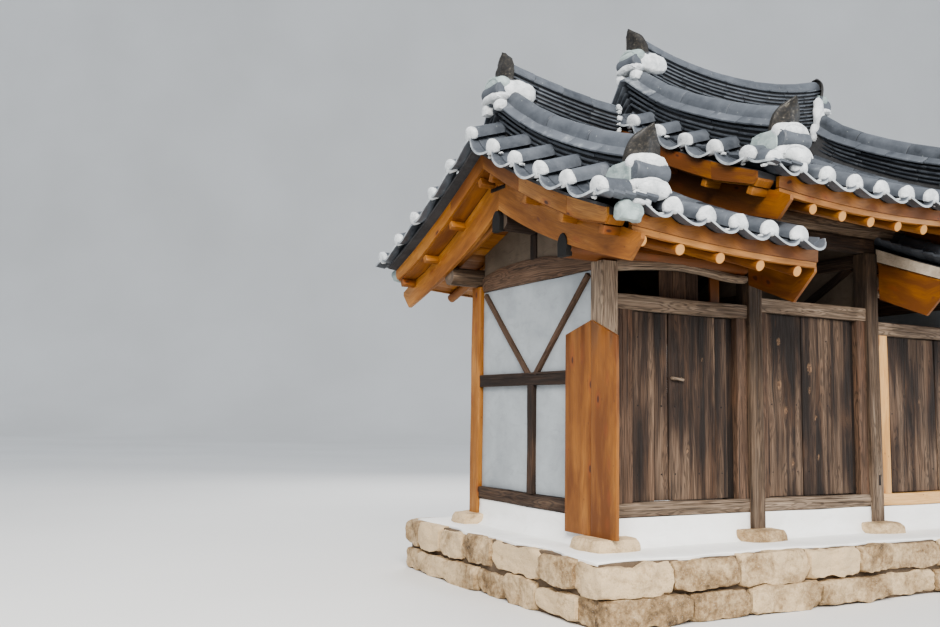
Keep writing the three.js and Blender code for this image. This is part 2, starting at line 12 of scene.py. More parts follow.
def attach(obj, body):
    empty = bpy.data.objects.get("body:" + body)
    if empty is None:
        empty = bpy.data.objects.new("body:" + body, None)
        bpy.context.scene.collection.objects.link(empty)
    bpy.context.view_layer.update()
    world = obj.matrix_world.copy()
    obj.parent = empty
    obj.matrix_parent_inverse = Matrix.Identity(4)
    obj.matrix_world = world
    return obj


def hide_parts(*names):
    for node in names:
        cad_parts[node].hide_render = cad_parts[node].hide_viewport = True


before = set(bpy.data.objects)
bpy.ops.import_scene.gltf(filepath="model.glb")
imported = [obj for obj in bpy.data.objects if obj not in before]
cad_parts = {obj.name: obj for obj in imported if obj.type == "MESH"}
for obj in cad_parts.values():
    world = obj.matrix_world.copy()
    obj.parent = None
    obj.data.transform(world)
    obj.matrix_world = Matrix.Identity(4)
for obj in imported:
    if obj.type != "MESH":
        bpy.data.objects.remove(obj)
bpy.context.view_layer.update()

# Camera

CAMERA_AT = (-7.21, -7.355, 1.56)
CAMERA_YAW, CAMERA_PITCH, CAMERA_ROLL = (math.radians(a) for a in (28.82, 6.13, 0.91))
FOCAL_PIXELS, IMAGE_WIDTH, SENSOR_WIDTH = 946.0, 940.0, 36.0


def link(obj):
    bpy.context.scene.collection.objects.link(obj)
    return obj


def add_camera():
    """A camera at the photograph's place, with its framing."""
    data = bpy.data.cameras.new("camera")
    data.sensor_width = SENSOR_WIDTH
    data.lens = FOCAL_PIXELS / IMAGE_WIDTH * SENSOR_WIDTH
    forward = Vector((math.sin(CAMERA_YAW) * math.cos(CAMERA_PITCH),
                      math.cos(CAMERA_YAW) * math.cos(CAMERA_PITCH), math.sin(CAMERA_PITCH)))
    level = Vector((math.cos(CAMERA_YAW), -math.sin(CAMERA_YAW), 0.0))
    upward = level.cross(forward)
    right = level * math.cos(CAMERA_ROLL) + upward * math.sin(CAMERA_ROLL)
    top = upward * math.cos(CAMERA_ROLL) - level * math.sin(CAMERA_ROLL)
    camera = link(bpy.data.objects.new("camera", data))
    turn = Matrix((right, top, -forward)).transposed()
    camera.matrix_world = Matrix.Translation(CAMERA_AT) @ turn.to_4x4()
    bpy.context.scene.camera = camera


add_camera()

# Noise


def rand(seed):
    return np.random.default_rng(seed)


def lattice(ix, iy, iz, seed):
    """A repeatable number from 0 to 1 for each point of a whole-number grid."""
    h = (ix * 374761393 + iy * 668265263 + iz * 1440662683 + seed * 974634777) & 0xFFFFFFFF
    h = ((h ^ (h >> 13)) * 1274126177) & 0xFFFFFFFF
    return (h ^ (h >> 16)) / 4294967296.0


def noise(points, scale, seed=0):
    """Smooth noise from -1 to 1 at each point; scale is the size of one bump, by axis or for all."""
    place = np.asarray(points, dtype=float) / scale
    cell = np.floor(place).astype(np.int64)
    f = place - cell
    f = f * f * (3 - 2 * f)
    total = 0.0
    for corner in np.ndindex(2, 2, 2):
        x, y, z = (f[..., axis] if far else 1 - f[..., axis] for axis, far in enumerate(corner))
        near = (cell[..., axis] + far for axis, far in enumerate(corner))
        total = total + x * y * z * lattice(*near, seed)
    return total * 2 - 1


def rough(points, scale, seed=0, octaves=3):
    """Several layers of noise, each half the size and the strength of the one before."""
    total = 0.0
    for octave in range(octaves):
        total = total + 0.5 ** octave * noise(points, scale / 2 ** octave, seed + 17 * octave)
    return total


def smooth(value, start, end):
    """0 before start, 1 after end, and an even ease between them."""
    t = np.clip((np.asarray(value, dtype=float) - start) / (end - start), 0, 1)
    return t * t * (3 - 2 * t)


def unit(vector):
    vector = np.asarray(vector, dtype=float)
    return vector / np.linalg.norm(vector, axis=-1, keepdims=True)


# Gathering meshes


class Shape:
    """The points and faces of one piece, gathered part by part.

    grain: metres along, across and through each timber, stone or tile, for the materials.
    tone: 0 dark to 1 pale. mark: knots, moss or soot, as the material says.
    """

    def __init__(self):
        self.points, self.grain, self.tone, self.mark = [], [], [], []
        self.quads, self.tris, self.quad_slots, self.tri_slots = [], [], [], []
        self.count = 0

    def add(self, points, quads, tris=(), slot=0, tri_slot=None, tone=0.5, grain=None, mark=0.0):
        total = len(points)
        self.points.append(points)
        self.grain.append(grain)
        self.tone.append(np.broadcast_to(tone, (total,)))
        self.mark.append(np.broadcast_to(mark, (total,)))
        self.quads.append(quads + self.count)
        self.quad_slots.append(np.full(len(quads), slot))
        if len(tris):
            self.tris.append(tris + self.count)
            self.tri_slots.append(np.full(len(tris), slot if tri_slot is None else tri_slot))
        self.count += total

    def mesh(self, name):
        mesh = bpy.data.meshes.new(name)
        quads = np.concatenate(self.quads)
        tris = np.concatenate([np.zeros((0, 3), int), *self.tris])
        corners = np.concatenate([quads.ravel(), tris.ravel()])
        starts = np.concatenate([np.arange(len(quads)) * 4, len(quads) * 4 + np.arange(len(tris)) * 3])

        def fill(target, field, values, kind=np.float32):
            target.foreach_set(field, np.asarray(values).astype(kind).ravel())

        mesh.vertices.add(self.count)
        fill(mesh.vertices, "co", np.concatenate(self.points))
        mesh.loops.add(len(corners))
        fill(mesh.loops, "vertex_index", corners, np.int32)
        mesh.polygons.add(len(starts))
        fill(mesh.polygons, "loop_start", starts, np.int32)
        fill(mesh.polygons, "material_index", np.concatenate(self.quad_slots + self.tri_slots), np.int32)
        mesh.update(calc_edges=True)
        fill(mesh.attributes.new("grain", "FLOAT_VECTOR", "POINT").data, "vector", np.concatenate(self.grain))
        for label, values in (("tone", self.tone), ("mark", self.mark)):
            fill(mesh.attributes.new(label, "FLOAT", "POINT").data, "value", np.concatenate(values))
        return mesh


def piece(name, shape, materials, body="building", nodes=(), slot=None, angle=38):
    """Makes one object of a shape, rides it on its body and lets it stand for CAD nodes."""
    mesh = shape.mesh(name)
    for material in materials:
        mesh.materials.append(material)
    mesh.shade_smooth()
    mesh.set_sharp_from_angle(angle=math.radians(angle))
    obj = link(bpy.data.objects.new(name, mesh))
    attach(obj, body)
    if nodes:
        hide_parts(*nodes)
    return obj


def solid(name, shape, materials, slot="old_timber", **more):
    """A piece that stands for the CAD node of its own name."""
    return piece(name, shape, materials, nodes=(name,), slot=slot, **more)


def grid_quads(rows, cols, wrap=False, start=0):
    """Quads of a grid of points; wrap joins the end of each row to its beginning."""
    r = np.arange(rows - 1)[:, None]
    c = np.arange(cols if wrap else cols - 1)[None, :]
    n = (c + 1) % cols
    quads = np.stack([r * cols + c, r * cols + n, (r + 1) * cols + n, (r + 1) * cols + c], axis=-1)
    return quads.reshape(-1, 4) + start


def layer_quads(rows, cols):
    """Quads of a layer with two faces, each a grid of points, and the rim between them."""
    total = rows * cols
    number = np.arange(total).reshape(rows, cols)
    rim = np.concatenate([number[0], number[1:, -1], number[-1, -2::-1], number[-2:0:-1, 0]])
    after = np.roll(rim, -1)
    return np.concatenate([grid_quads(rows, cols), grid_quads(rows, cols, start=total)[:, ::-1],
                           np.stack([rim, after, after + total, rim + total], axis=-1)[:, ::-1]])


def fan(center, ring, flip=False):
    """Triangles from a ring of point numbers to its center."""
    after, middle = np.roll(ring, -1), np.full(len(ring), center)
    return np.stack([middle, after, ring] if flip else [middle, ring, after], axis=-1)


def cube_faces(place):
    """Points and quads of a box's six faces; place(axis, sign) gives the points of one."""
    points, quads, count = [], [], 0
    for axis in range(3):
        for sign in (-1, 1):
            face = place(axis, sign)
            grid = grid_quads(*face.shape[:2], start=count)
            quads.append(grid[:, ::-1] if sign > 0 else grid)
            points.append(face.reshape(-1, 3))
            count += face.size // 3
    return np.concatenate(points), np.concatenate(quads)


# Timbers


def round_rect(width, height, radius, step):
    """Outline of a rounded rectangle, counterclockwise, and its outward directions."""
    points, outward = [], []
    x, y = width / 2 - radius, height / 2 - radius
    centers = np.array([(x, y), (-x, y), (-x, -y), (x, -y)])
    for corner in range(4):
        for turn in (0, 45, 90):
            a = math.radians(90 * corner + turn)
            outward.append(np.array([math.cos(a), math.sin(a)]))
            points.append(centers[corner] + radius * outward[-1])
        begin, end = points[-1], centers[(corner + 1) % 4] + radius * outward[-1]
        parts = max(1, round(np.linalg.norm(end - begin) / step))
        points += [begin + (end - begin) * i / parts for i in range(1, parts)]
        outward += [outward[-1]] * (parts - 1)
    return np.array(points), np.array(outward)


def circle(radius, sides):
    a = np.arange(sides) * 2 * math.pi / sides
    direction = np.stack([np.cos(a), np.sin(a)], axis=-1)
    return direction * radius, direction


CRACK_HALF, CRACK_CLEAR = 0.0035, 0.0125


def with_cracks(points, outward, places):
    """Adds three close points to an outline for each crack, and says which point is the floor."""
    edges = np.linalg.norm(np.roll(points, -1, axis=0) - points, axis=1)
    along = np.concatenate([[0], np.cumsum(edges)])
    whole = along[-1]
    keep = np.ones(len(points), bool)
    extra = []
    for place in places:
        s = (place % 1.0) * whole
        keep &= np.abs((along[:-1] - s + whole / 2) % whole - whole / 2) > CRACK_CLEAR
        extra += [(s - CRACK_HALF, -1), (s, 1), (s + CRACK_HALF, -1)]
    rows = [(along[i], points[i], outward[i], 0) for i in range(len(points)) if keep[i]]
    for s, kind in extra:
        s %= whole
        i = min(int(np.searchsorted(along, s, side="right")) - 1, len(points) - 1)
        t = (s - along[i]) / max(edges[i], 1e-9)
        j = (i + 1) % len(points)
        between, turned = (row[i] * (1 - t) + row[j] * t for row in (points, outward))
        rows.append((s, between, unit(turned), kind))
    rows.sort(key=lambda row: row[0])
    return [np.array([row[i] for row in rows]) for i in (1, 2, 3)]


def random_cracks(seed, count, depth=0.012):
    """Long drying cracks at random places round a timber."""
    r = rand(seed)
    cracks = []
    while len(cracks) < count:
        place = r.uniform(0, 1)
        if any(abs((place - other[0] + 0.5) % 1 - 0.5) < 0.05 for other in cracks):
            continue
        start = r.uniform(0.0, 0.7)
        end = min(1.0, start + r.uniform(0.25, 0.8))
        cracks.append((place, start, end, depth * r.uniform(0.5, 1.3)))
    return cracks


def resample(path, step):
    """Points at most step apart along a path, its own points kept."""
    out = [path[0]]
    for a, b in zip(path[:-1], path[1:]):
        parts = max(1, math.ceil(np.linalg.norm(b - a) / step))
        out += [a + (b - a) * i / parts for i in range(1, parts + 1)]
    return np.array(out)


GRAIN_SHIFT = 7.3


def knotted(along, across, knots):
    """Grain that bends round each knot, and how deep in a knot each point lies."""
    bent, deep = across.copy(), np.zeros(across.shape)
    for at, over, size in knots:
        du, dv = along - at, across - over
        bent -= np.sign(dv) * size * np.exp(-(du / (3.2 * size)) ** 2) * np.exp(-np.abs(dv) / (2.5 * size))
        deep = np.maximum(deep, np.exp(-((du / (0.95 * size)) ** 2 + (dv / (0.6 * size)) ** 2)))
    return bent, deep


def sweep(shape, path, up, outline, seed, ring=0.07, wear=0.002, fine=0.0008, bow=0.0, cracks=(),
          tone=0.5, slot=0, end_slot=None, knots=(), scale=None, bleach=None, bevel=0.004):
    """A timber: an outline carried along a path, worn, bowed, cracked and knotty.

    cracks: (place round the outline 0..1, start 0..1, end 0..1, depth). scale: (width, height)
    factors along the path as functions of 0..1. bleach: function of points that adds to the tone.
    """
    points, outward = outline
    if len(cracks):
        points, outward, kinds = with_cracks(points, outward, [c[0] for c in cracks])
    path = resample(np.asarray(path, dtype=float), ring)
    along = np.concatenate([[0], np.cumsum(np.linalg.norm(np.diff(path, axis=0), axis=1))])
    whole = along[-1]
    for spot in (bevel, whole - bevel) if bevel else ():
        i = int(np.searchsorted(along, spot))
        t = (spot - along[i - 1]) / (along[i] - along[i - 1])
        path = np.insert(path, i, path[i - 1] * (1 - t) + path[i] * t, axis=0)
        along = np.insert(along, i, spot)
    share = along / whole
    line = np.stack([along, along * 0, along * 0], axis=-1)
    tangent = unit(np.gradient(path, along, axis=0))
    up = np.asarray(up, dtype=float)
    lift = unit(up - tangent * (tangent @ up)[:, None])
    side = np.cross(lift, tangent)
    if bow:
        swing, window = line + [0, seed * 3.1, 0], np.sin(np.pi * share)
        path = (path + side * (bow * window * noise(swing, 1.6, seed))[:, None]
                + lift * (bow * window * noise(swing, 1.9, seed + 5))[:, None])
    rings, cols = len(path), len(points)
    p, q = (np.tile(points[:, axis], (rings, 1)) for axis in (0, 1))
    if scale is not None:
        p *= scale[0](share)[:, None]
        q *= scale[1](share)[:, None]
    u = np.broadcast_to(along[:, None], p.shape)
    local = np.stack([u + seed * GRAIN_SHIFT, p, q], axis=-1)
    push = wear * noise(local, (0.5, 0.05, 0.05), seed) + fine * noise(local, (0.12, 0.012, 0.012), seed + 3)
    push[[0, -1]] -= bevel * 0.8
    if len(cracks):
        for number, (place, start, end, deep) in zip(np.flatnonzero(kinds == 1), sorted(cracks)):
            depth = deep * smooth(share, start, start + 0.06) * (1 - smooth(share, end - 0.06, end))
            push[:, number] -= depth * (0.75 + 0.25 * noise(line + [0, 0, place * 9], 0.15, seed))
    offset_p, offset_q = p + push * outward[:, 0], q + push * outward[:, 1]
    if len(cracks):
        wander = 0.006 * noise(line, 0.35, seed + 9)[:, None]
        near = np.flatnonzero(kinds != 0)
        offset_p[:, near] += -outward[near, 1] * wander
        offset_q[:, near] += outward[near, 0] * wander
    world = path[:, None, :] + side[:, None, :] * offset_p[..., None] + lift[:, None, :] * offset_q[..., None]
    bent, knot = knotted(u, p, knots)
    grain = np.stack([local[..., 0], bent, q], axis=-1)
    tones = np.full(p.shape, tone) if bleach is None else tone + bleach(world)
    total, ring_of = rings * cols, np.arange(cols)
    shape.add(
        np.concatenate([world.reshape(-1, 3), path[[0, -1]]]),
        grid_quads(rings, cols, wrap=True),
        np.concatenate([fan(total, ring_of, flip=True), fan(total + 1, total - cols + ring_of)]),
        slot=slot, tri_slot=end_slot,
        tone=np.concatenate([tones.ravel(), [tones[0].mean(), tones[-1].mean()]]),
        grain=np.concatenate([grain.reshape(-1, 3), line[[0, -1]] + [seed * GRAIN_SHIFT, 0, 0]]),
        mark=np.concatenate([knot.ravel(), [0, 0]]),
    )


def beam(shape, start, end, up, width, height, seed, radius=0.006, step=0.035, **more):
    """A sawn timber; width is across up, height along it."""
    sweep(shape, [start, end], up, round_rect(width, height, radius, step), seed, **more)


def pole(shape, path, radius, seed, sides=16, up=(0, 0, 1), wear=0.003, **more):
    """A round timber."""
    sweep(shape, path, up, circle(radius, sides), seed, wear=wear, **more)


# Stones and lumps


def joined(key, points, quads):
    """Points with those of the same key made one, and the quads renumbered."""
    _, first, back = np.unique(key, axis=0, return_index=True, return_inverse=True)
    return points[first], back.ravel()[quads]


def blob(shape, center, size, seed, parts=7, boxy=0.75, lumps=0.12, fine=0.02, turn=0.0, tone=0.5,
         slot=0, flat_top=None, floor=None, corner=1.42):
    """A rounded lump between a box and a ball, with an uneven surface."""
    t = np.linspace(-1, 1, parts)
    a, b = np.meshgrid(t, t, indexing="ij")

    def face(axis, sign):
        return np.roll(np.stack([sign + 0 * a, a, b], axis=-1), axis, axis=-1)

    cube, quads = cube_faces(face)
    ball = unit(cube)
    body = cube * boxy + ball * (1 - boxy) * 1.15
    body = body / np.maximum(1, np.linalg.norm(body, axis=1, keepdims=True) / corner)
    half = np.asarray(size) / 2
    small, shift = float(min(half)), seed * 5.7
    place = body * half
    push = lumps * small * rough(place + shift, small * 1.1, seed, 2) + fine * small * rough(
        place + shift, small * 0.28, seed + 40, 2)
    place = place + ball * push[:, None]
    if flat_top is not None:
        place[:, 2] = np.minimum(place[:, 2], flat_top)
    x, y, z = place.T
    c, s = math.cos(turn), math.sin(turn)
    place = np.stack([x * c - y * s, x * s + y * c, z], -1) + np.asarray(center)
    if floor is not None:
        place[:, 2] = np.maximum(place[:, 2], floor)
    place, quads = joined(np.round(cube * 1000).astype(int), place, quads)
    shape.add(place, quads, slot=slot, tone=tone, grain=place + shift)


# Materials


class Paint:
    """A node material, written as a chain of small steps.

    Its textures lie on the piece's own grain, or with fixed on the frame's coordinates.
    """

    def __init__(self, name, roughness, fixed=False, metallic=0.0):
        self.material = bpy.data.materials.new(name)
        self.material.use_nodes = True
        self.tree = self.material.node_tree
        self.shader = self.tree.nodes["Principled BSDF"]
        self.shader.inputs["Roughness"].default_value = roughness
        self.shader.inputs["Metallic"].default_value = metallic
        self.fixed = fixed

    def node(self, kind, inputs=(), **settings):
        node = self.tree.nodes.new(kind)
        for label, value in settings.items():
            setattr(node, label, value)
        for label, value in dict(inputs).items():
            self.put(node.inputs[label], value)
        return node

    def put(self, socket, value):
        if isinstance(value, bpy.types.NodeSocket):
            self.tree.links.new(value, socket)
        else:
            socket.default_value = value

    def value(self, name):
        """One of the piece's own tone or mark values."""
        return self.node("ShaderNodeAttribute", attribute_name=name).outputs["Fac"]

    def place(self, scale):
        """Coordinates in metres, stretched: one factor, or one for each axis."""
        if self.fixed:
            place = self.node("ShaderNodeTexCoord").outputs["Object"]
        else:
            place = self.node("ShaderNodeAttribute", attribute_name="grain").outputs["Vector"]
        scale = scale if isinstance(scale, tuple) else (scale,) * 3
        return self.node("ShaderNodeMapping", {"Vector": place, "Scale": scale}).outputs["Vector"]

    def noise(self, scale, detail, rough, bend=0.0):
        return self.node("ShaderNodeTexNoise", {
            "Vector": self.place(scale), "Scale": 1.0, "Detail": detail, "Roughness": rough,
            "Distortion": bend,
        }).outputs["Fac"]

    def cells(self, scale):
        inputs = {"Vector": self.place(scale), "Scale": 1.0}
        return self.node("ShaderNodeTexVoronoi", inputs).outputs["Distance"]

    def span(self, value, low, high, to_low=0.0, to_high=1.0):
        inputs = {"Value": value, "From Min": low, "From Max": high, "To Min": to_low, "To Max": to_high}
        return self.node("ShaderNodeMapRange", inputs, interpolation_type="SMOOTHSTEP").outputs["Result"]

    def math(self, kind, *values):
        node = self.node("ShaderNodeMath", operation=kind)
        for socket, value in zip(node.inputs, values):
            self.put(socket, value)
        return node.outputs[0]

    def times(self, value, factor):
        return self.math("MULTIPLY", value, factor)

    def total(self, *terms):
        """The sum of values, each given with its factor or without one."""
        terms = [self.times(*term) if isinstance(term, tuple) else term for term in terms]
        total = terms[0]
        for term in terms[1:]:
            total = self.math("ADD", total, term)
        return total

    def centered(self, value):
        return self.math("SUBTRACT", value, 0.5)

    def ramp(self, value, stops):
        node = self.node("ShaderNodeValToRGB", {"Fac": value})
        elements = node.color_ramp.elements
        while len(elements) < len(stops):
            elements.new(0.5)
        for element, (at, color) in zip(elements, stops):
            element.position, element.color = at, (*color, 1)
        return node.outputs["Color"]

    def mix(self, share, a, b):
        node = self.node("ShaderNodeMix", data_type="RGBA")
        for socket, value in ((node.inputs["Factor"], share), (node.inputs[6], a), (node.inputs[7], b)):
            self.put(socket, (*value, 1) if isinstance(value, tuple) else value)
        return node.outputs[2]

    def tint(self, color, other, *span):
        """Another colour laid over one, by the span of a value."""
        return self.mix(self.span(*span), color, other)

    def finish(self, color, height=None, relief=0.0, roughness=None):
        self.put(self.shader.inputs["Base Color"], color)
        if roughness is not None:
            self.put(self.shader.inputs["Roughness"], roughness)
        if height is not None:
            bump = self.node("ShaderNodeBump", {"Height": height, "Strength": 1.0, "Distance": relief})
            self.put(self.shader.inputs["Normal"], bump.outputs["Normal"])
        return self.material


CHECK, BRANCH = (0.012, 0.009, 0.007), (0.05, 0.026, 0.015)
TORN, HEART = (0.30, 0.175, 0.095), (0.10, 0.045, 0.022)


def old_timber(name, dark, middle, pale, warmth):
    """Weathered pine: long fibres, dark streaks, bleached ridges, knots, drying checks."""
    p = Paint(name, 0.82)
    fibre = p.noise((3.0, 85, 85), 6, 0.62, 0.25)
    streak = p.noise((0.9, 17, 17), 5, 0.6, 0.6)
    patch = p.noise((1.1, 3.5, 3.5), 4, 0.55, 0.5)
    check = p.noise((0.7, 42, 42), 3, 0.5, 0.8)
    figure = p.noise((0.42, 10, 10), 3, 0.5, 0.9)
    branch, knot = p.cells((2.0, 7.0, 7.0)), p.value("mark")
    level = p.total((streak, 0.55), (patch, 0.45), (p.centered(p.value("tone")), 0.75))
    color = p.ramp(level, [(0.26, dark), (0.46, middle), (0.74, pale)])
    color = p.mix(p.times(p.span(patch, 0.5, 0.72), 0.45), color, warmth)
    color = p.mix(p.span(fibre, 0.36, 0.62, 0.0, 0.55), p.mix(0.55, color, dark), color)
    swirl = p.total(p.span(branch, 0.0, 0.5, 13.0, 0.0), (knot, 11.0))
    rings = p.span(p.math("SINE", p.total((figure, 95.0), swirl)), 0.0, 0.95)
    color = p.mix(p.times(rings, 0.55), color, dark)
    color = p.mix(p.times(p.span(check, 0.30, 0.37, 1.0, 0.0), 0.8), color, CHECK)
    color = p.tint(color, BRANCH, branch, 0.05, 0.13, 0.6, 0.0)
    torn = p.span(p.noise((18, 55, 55), 3, 0.6, 1.2), 0.42, 0.58)
    color = p.mix(p.times(p.span(knot, 0.15, 0.6, 0.0, 0.75), torn), color, TORN)
    color = p.tint(color, HEART, knot, 0.60, 0.95, 0.0, 0.75)
    height = p.total((fibre, 0.5), (p.span(check, 0.30, 0.4), 0.9))
    height = p.math("SUBTRACT", height, p.times(rings, 0.25))
    return p.finish(color, height, 0.004, p.span(fibre, 0.3, 0.7, 0.95, 0.72))


FRECKLE, BARK_RING, NEW_BRANCH = (0.09, 0.028, 0.008), (0.22, 0.058, 0.012), (0.05, 0.015, 0.006)
NEW_KNOT = (0.13, 0.042, 0.012)


def new_timber(name, dark, middle, pale, gloss=0.55):
    """Fresh planed pine: soft growth lines, knots and a thin oil sheen."""
    p = Paint(name, gloss)
    fibre = p.noise((3.5, 120, 120), 5, 0.6, 0.1)
    figure = p.noise((0.45, 15, 15), 3, 0.5, 1.2)
    patch = p.noise((0.9, 4, 4), 4, 0.6, 0.3)
    branch = p.cells((3.0, 6.5, 6.5))
    rings = p.math("SINE", p.total((figure, 62.0), p.span(branch, 0.0, 0.45, 10.0, 0.0)))
    line = p.span(rings, -0.2, 1.0)
    level = p.total((patch, 0.9), (p.centered(p.value("tone")), 0.6))
    color = p.ramp(level, [(0.30, dark), (0.47, middle), (0.66, pale)])
    color = p.mix(p.times(line, 0.34), color, dark)
    color = p.tint(color, dark, fibre, 0.42, 0.7, 0.0, 0.3)
    color = p.tint(color, FRECKLE, p.cells((6.0, 13, 13)), 0.03, 0.085, 0.85, 0.0)
    color = p.tint(color, BARK_RING, branch, 0.10, 0.32, 0.5, 0.0)
    color = p.tint(color, NEW_BRANCH, branch, 0.06, 0.12, 0.9, 0.0)
    color = p.tint(color, NEW_KNOT, p.value("mark"), 0.35, 0.75, 0.0, 0.9)
    return p.finish(color, p.total((fibre, 0.7), (line, 0.3)), 0.0012,
                    p.span(patch, 0.3, 0.7, gloss + 0.12, gloss - 0.08))


def end_grain(name, dark, pale):
    """Sawn end of a timber: growth rings and fine radial checks."""
    p = Paint(name, 0.8)
    radius = p.node("ShaderNodeVectorMath", {0: p.place((0.0, 1, 1))}, operation="LENGTH").outputs["Value"]
    wobble = p.noise((1.0, 9, 9), 3, 0.5)
    rings = p.math("SINE", p.times(p.total(radius, (wobble, 0.02)), 900.0))
    level = p.span(rings, -1.0, 1.0)
    color = p.mix(p.times(level, 0.4), pale, dark)
    color = p.tint(color, dark, p.noise((1, 160, 160), 3, 0.6), 0.5, 0.75, 0.0, 0.35)
    color = p.tint(color, dark, radius, 0.036, 0.047, 0.0, 0.45)
    return p.finish(color, level, 0.0006)


TILE_GLINT, LICHEN = (0.36, 0.385, 0.40), (0.38, 0.40, 0.38)
MOSS = [(0.44, (0.010, 0.009, 0.008)), (0.60, (0.036, 0.030, 0.023)), (0.74, (0.20, 0.185, 0.15))]


def tile_clay(name, dark, pale, dust):
    """Smoked clay tile: cloudy blue-grey, faint throwing marks, dust and pale lichen."""
    p = Paint(name, 0.5)
    cloud, speck = p.noise(7, 5, 0.65, 0.4), p.noise(90, 3, 0.6)
    line, grit = p.noise((3, 60, 60), 3, 0.5), p.noise(38, 5, 0.7)
    level = p.total((cloud, 0.7), (p.value("tone"), 0.6))
    color = p.ramp(level, [(0.34, dark), (0.80, pale), (1.15, TILE_GLINT)])
    color = p.tint(color, dust, speck, 0.62, 0.74, 0.0, 0.35)
    color = p.tint(color, LICHEN, p.cells(13), 0.04, 0.10, 0.55, 0.0)
    color = p.mix(p.span(p.total(p.value("mark"), (cloud, 0.6)), 0.75, 1.1), color, p.ramp(grit, MOSS))
    return p.finish(color, p.total((speck, 0.35), (line, 0.3)), 0.0016, p.span(cloud, 0.3, 0.75, 0.42, 0.66))


def plaster(name, color_low, color_high, stain, stain_share, relief=0.003, scale=1.0):
    """Trowelled lime: soft clouds, trowel ridges, hairline specks and stains."""
    p = Paint(name, 0.9, fixed=True)
    cloud = p.noise(2.2 * scale, 5, 0.6, 0.3)
    trowel = p.noise((7 * scale, 7 * scale, 16 * scale), 4, 0.6, 0.8)
    speck = p.noise(60 * scale, 3, 0.6)
    color = p.ramp(cloud, [(0.32, color_low), (0.68, color_high)])
    color = p.tint(color, stain, trowel, 0.5, 0.75, 0.0, stain_share)
    color = p.tint(color, stain, speck, 0.66, 0.8, 0.0, 0.3)
    color = p.tint(color, stain, p.value("mark"), 0.2, 1.0, 0.0, 0.8)
    return p.finish(color, p.total((trowel, 0.8), (speck, 0.2)), relief)


PALE_SPECK, DARK_SPECK = (0.62, 0.56, 0.48), (0.12, 0.10, 0.08)


def granite(name, dark, middle, pale):
    """Rough stone: mineral specks, iron stains and worn pale edges."""
    p = Paint(name, 0.88)
    cloud, speck, grit = p.noise(3.5, 5, 0.62, 0.4), p.noise(95, 3, 0.6), p.noise(24, 5, 0.68)
    level = p.total((cloud, 0.75), (p.value("tone"), 0.5), (p.centered(grit), 0.45))
    color = p.ramp(level, [(0.38, dark), (0.54, middle), (0.74, pale)])
    color = p.tint(color, PALE_SPECK, speck, 0.60, 0.70, 0.0, 0.5)
    color = p.tint(color, DARK_SPECK, speck, 0.32, 0.40, 0.45, 0.0)
    return p.finish(color, p.total((grit, 1.0), (speck, 0.25)), 0.016)


def plain(name, color, roughness, relief, scale, metallic=0.0):
    """Paint, iron or earth: one colour, worn and clouded."""
    p = Paint(name, roughness, True, metallic)
    cloud, speck = p.noise(scale / 8, 5, 0.6, 0.3), p.noise(scale, 4, 0.65)
    low, high = (tuple(min(1.0, c * share) for c in color) for share in (1 - 0.35, 1 + 0.35))
    shade = p.ramp(p.total((cloud, 0.7), (speck, 0.3)), [(0.35, low), (0.65, high)])
    return p.finish(shade, speck, relief)


WOOD_DARK = old_timber("old_timber_dark", (0.012, 0.0065, 0.004), (0.062, 0.034, 0.020), (0.25, 0.165, 0.108),
                       (0.17, 0.085, 0.042))
WOOD_GREY = old_timber("old_timber_grey", (0.028, 0.017, 0.010), (0.150, 0.098, 0.062), (0.44, 0.335, 0.245),
                       (0.22, 0.135, 0.075))
WOOD_RED = old_timber("old_timber_red", (0.018, 0.009, 0.005), (0.088, 0.047, 0.027), (0.23, 0.14, 0.088),
                      (0.18, 0.078, 0.035))
PINE = new_timber("new_timber_honey", (0.135, 0.044, 0.007), (0.275, 0.107, 0.016), (0.43, 0.197, 0.046))
PINE_PALE = new_timber("new_timber_pale", (0.40, 0.19, 0.055), (0.60, 0.34, 0.125), (0.72, 0.46, 0.21), 0.6)
END_PINE = end_grain("end_grain_new", (0.33, 0.125, 0.028), (0.59, 0.325, 0.115))
END_OLD = end_grain("end_grain_old", (0.05, 0.035, 0.025), (0.17, 0.125, 0.09))
TILE = tile_clay("clay_tile", (0.025, 0.029, 0.036), (0.116, 0.128, 0.147), (0.27, 0.285, 0.30))
LIME = plaster("white_lime", (0.82, 0.81, 0.78), (0.90, 0.895, 0.875), (0.60, 0.58, 0.54), 0.2)
LIME_END = plaster("lime_tile_end", (0.48, 0.50, 0.51), (0.76, 0.775, 0.78), (0.26, 0.275, 0.275), 0.55,
                   0.006, 5.0)
LIME_GREEN = plaster("weathered_lime", (0.20, 0.25, 0.245), (0.38, 0.44, 0.43), (0.52, 0.56, 0.55), 0.5,
                     0.004, 3.0)
# Plaster of the gable and rear walls: lime made darker and bluer than the floor's, which is painted shade for
# walls that stand in shade.
WALL = plaster("gable_plaster", (0.285, 0.305, 0.318), (0.39, 0.415, 0.43), (0.22, 0.237, 0.246), 0.3, 0.0022)
# Lime of the strips beside the low roofs' inner end boards: a weathered beige, made darker as painted shade
# under the raised roof's eave.
EAVE_LIME = plaster("eave_lime", (0.33, 0.275, 0.21), (0.52, 0.45, 0.36), (0.22, 0.175, 0.13), 0.5,
                    0.006, 4.0)
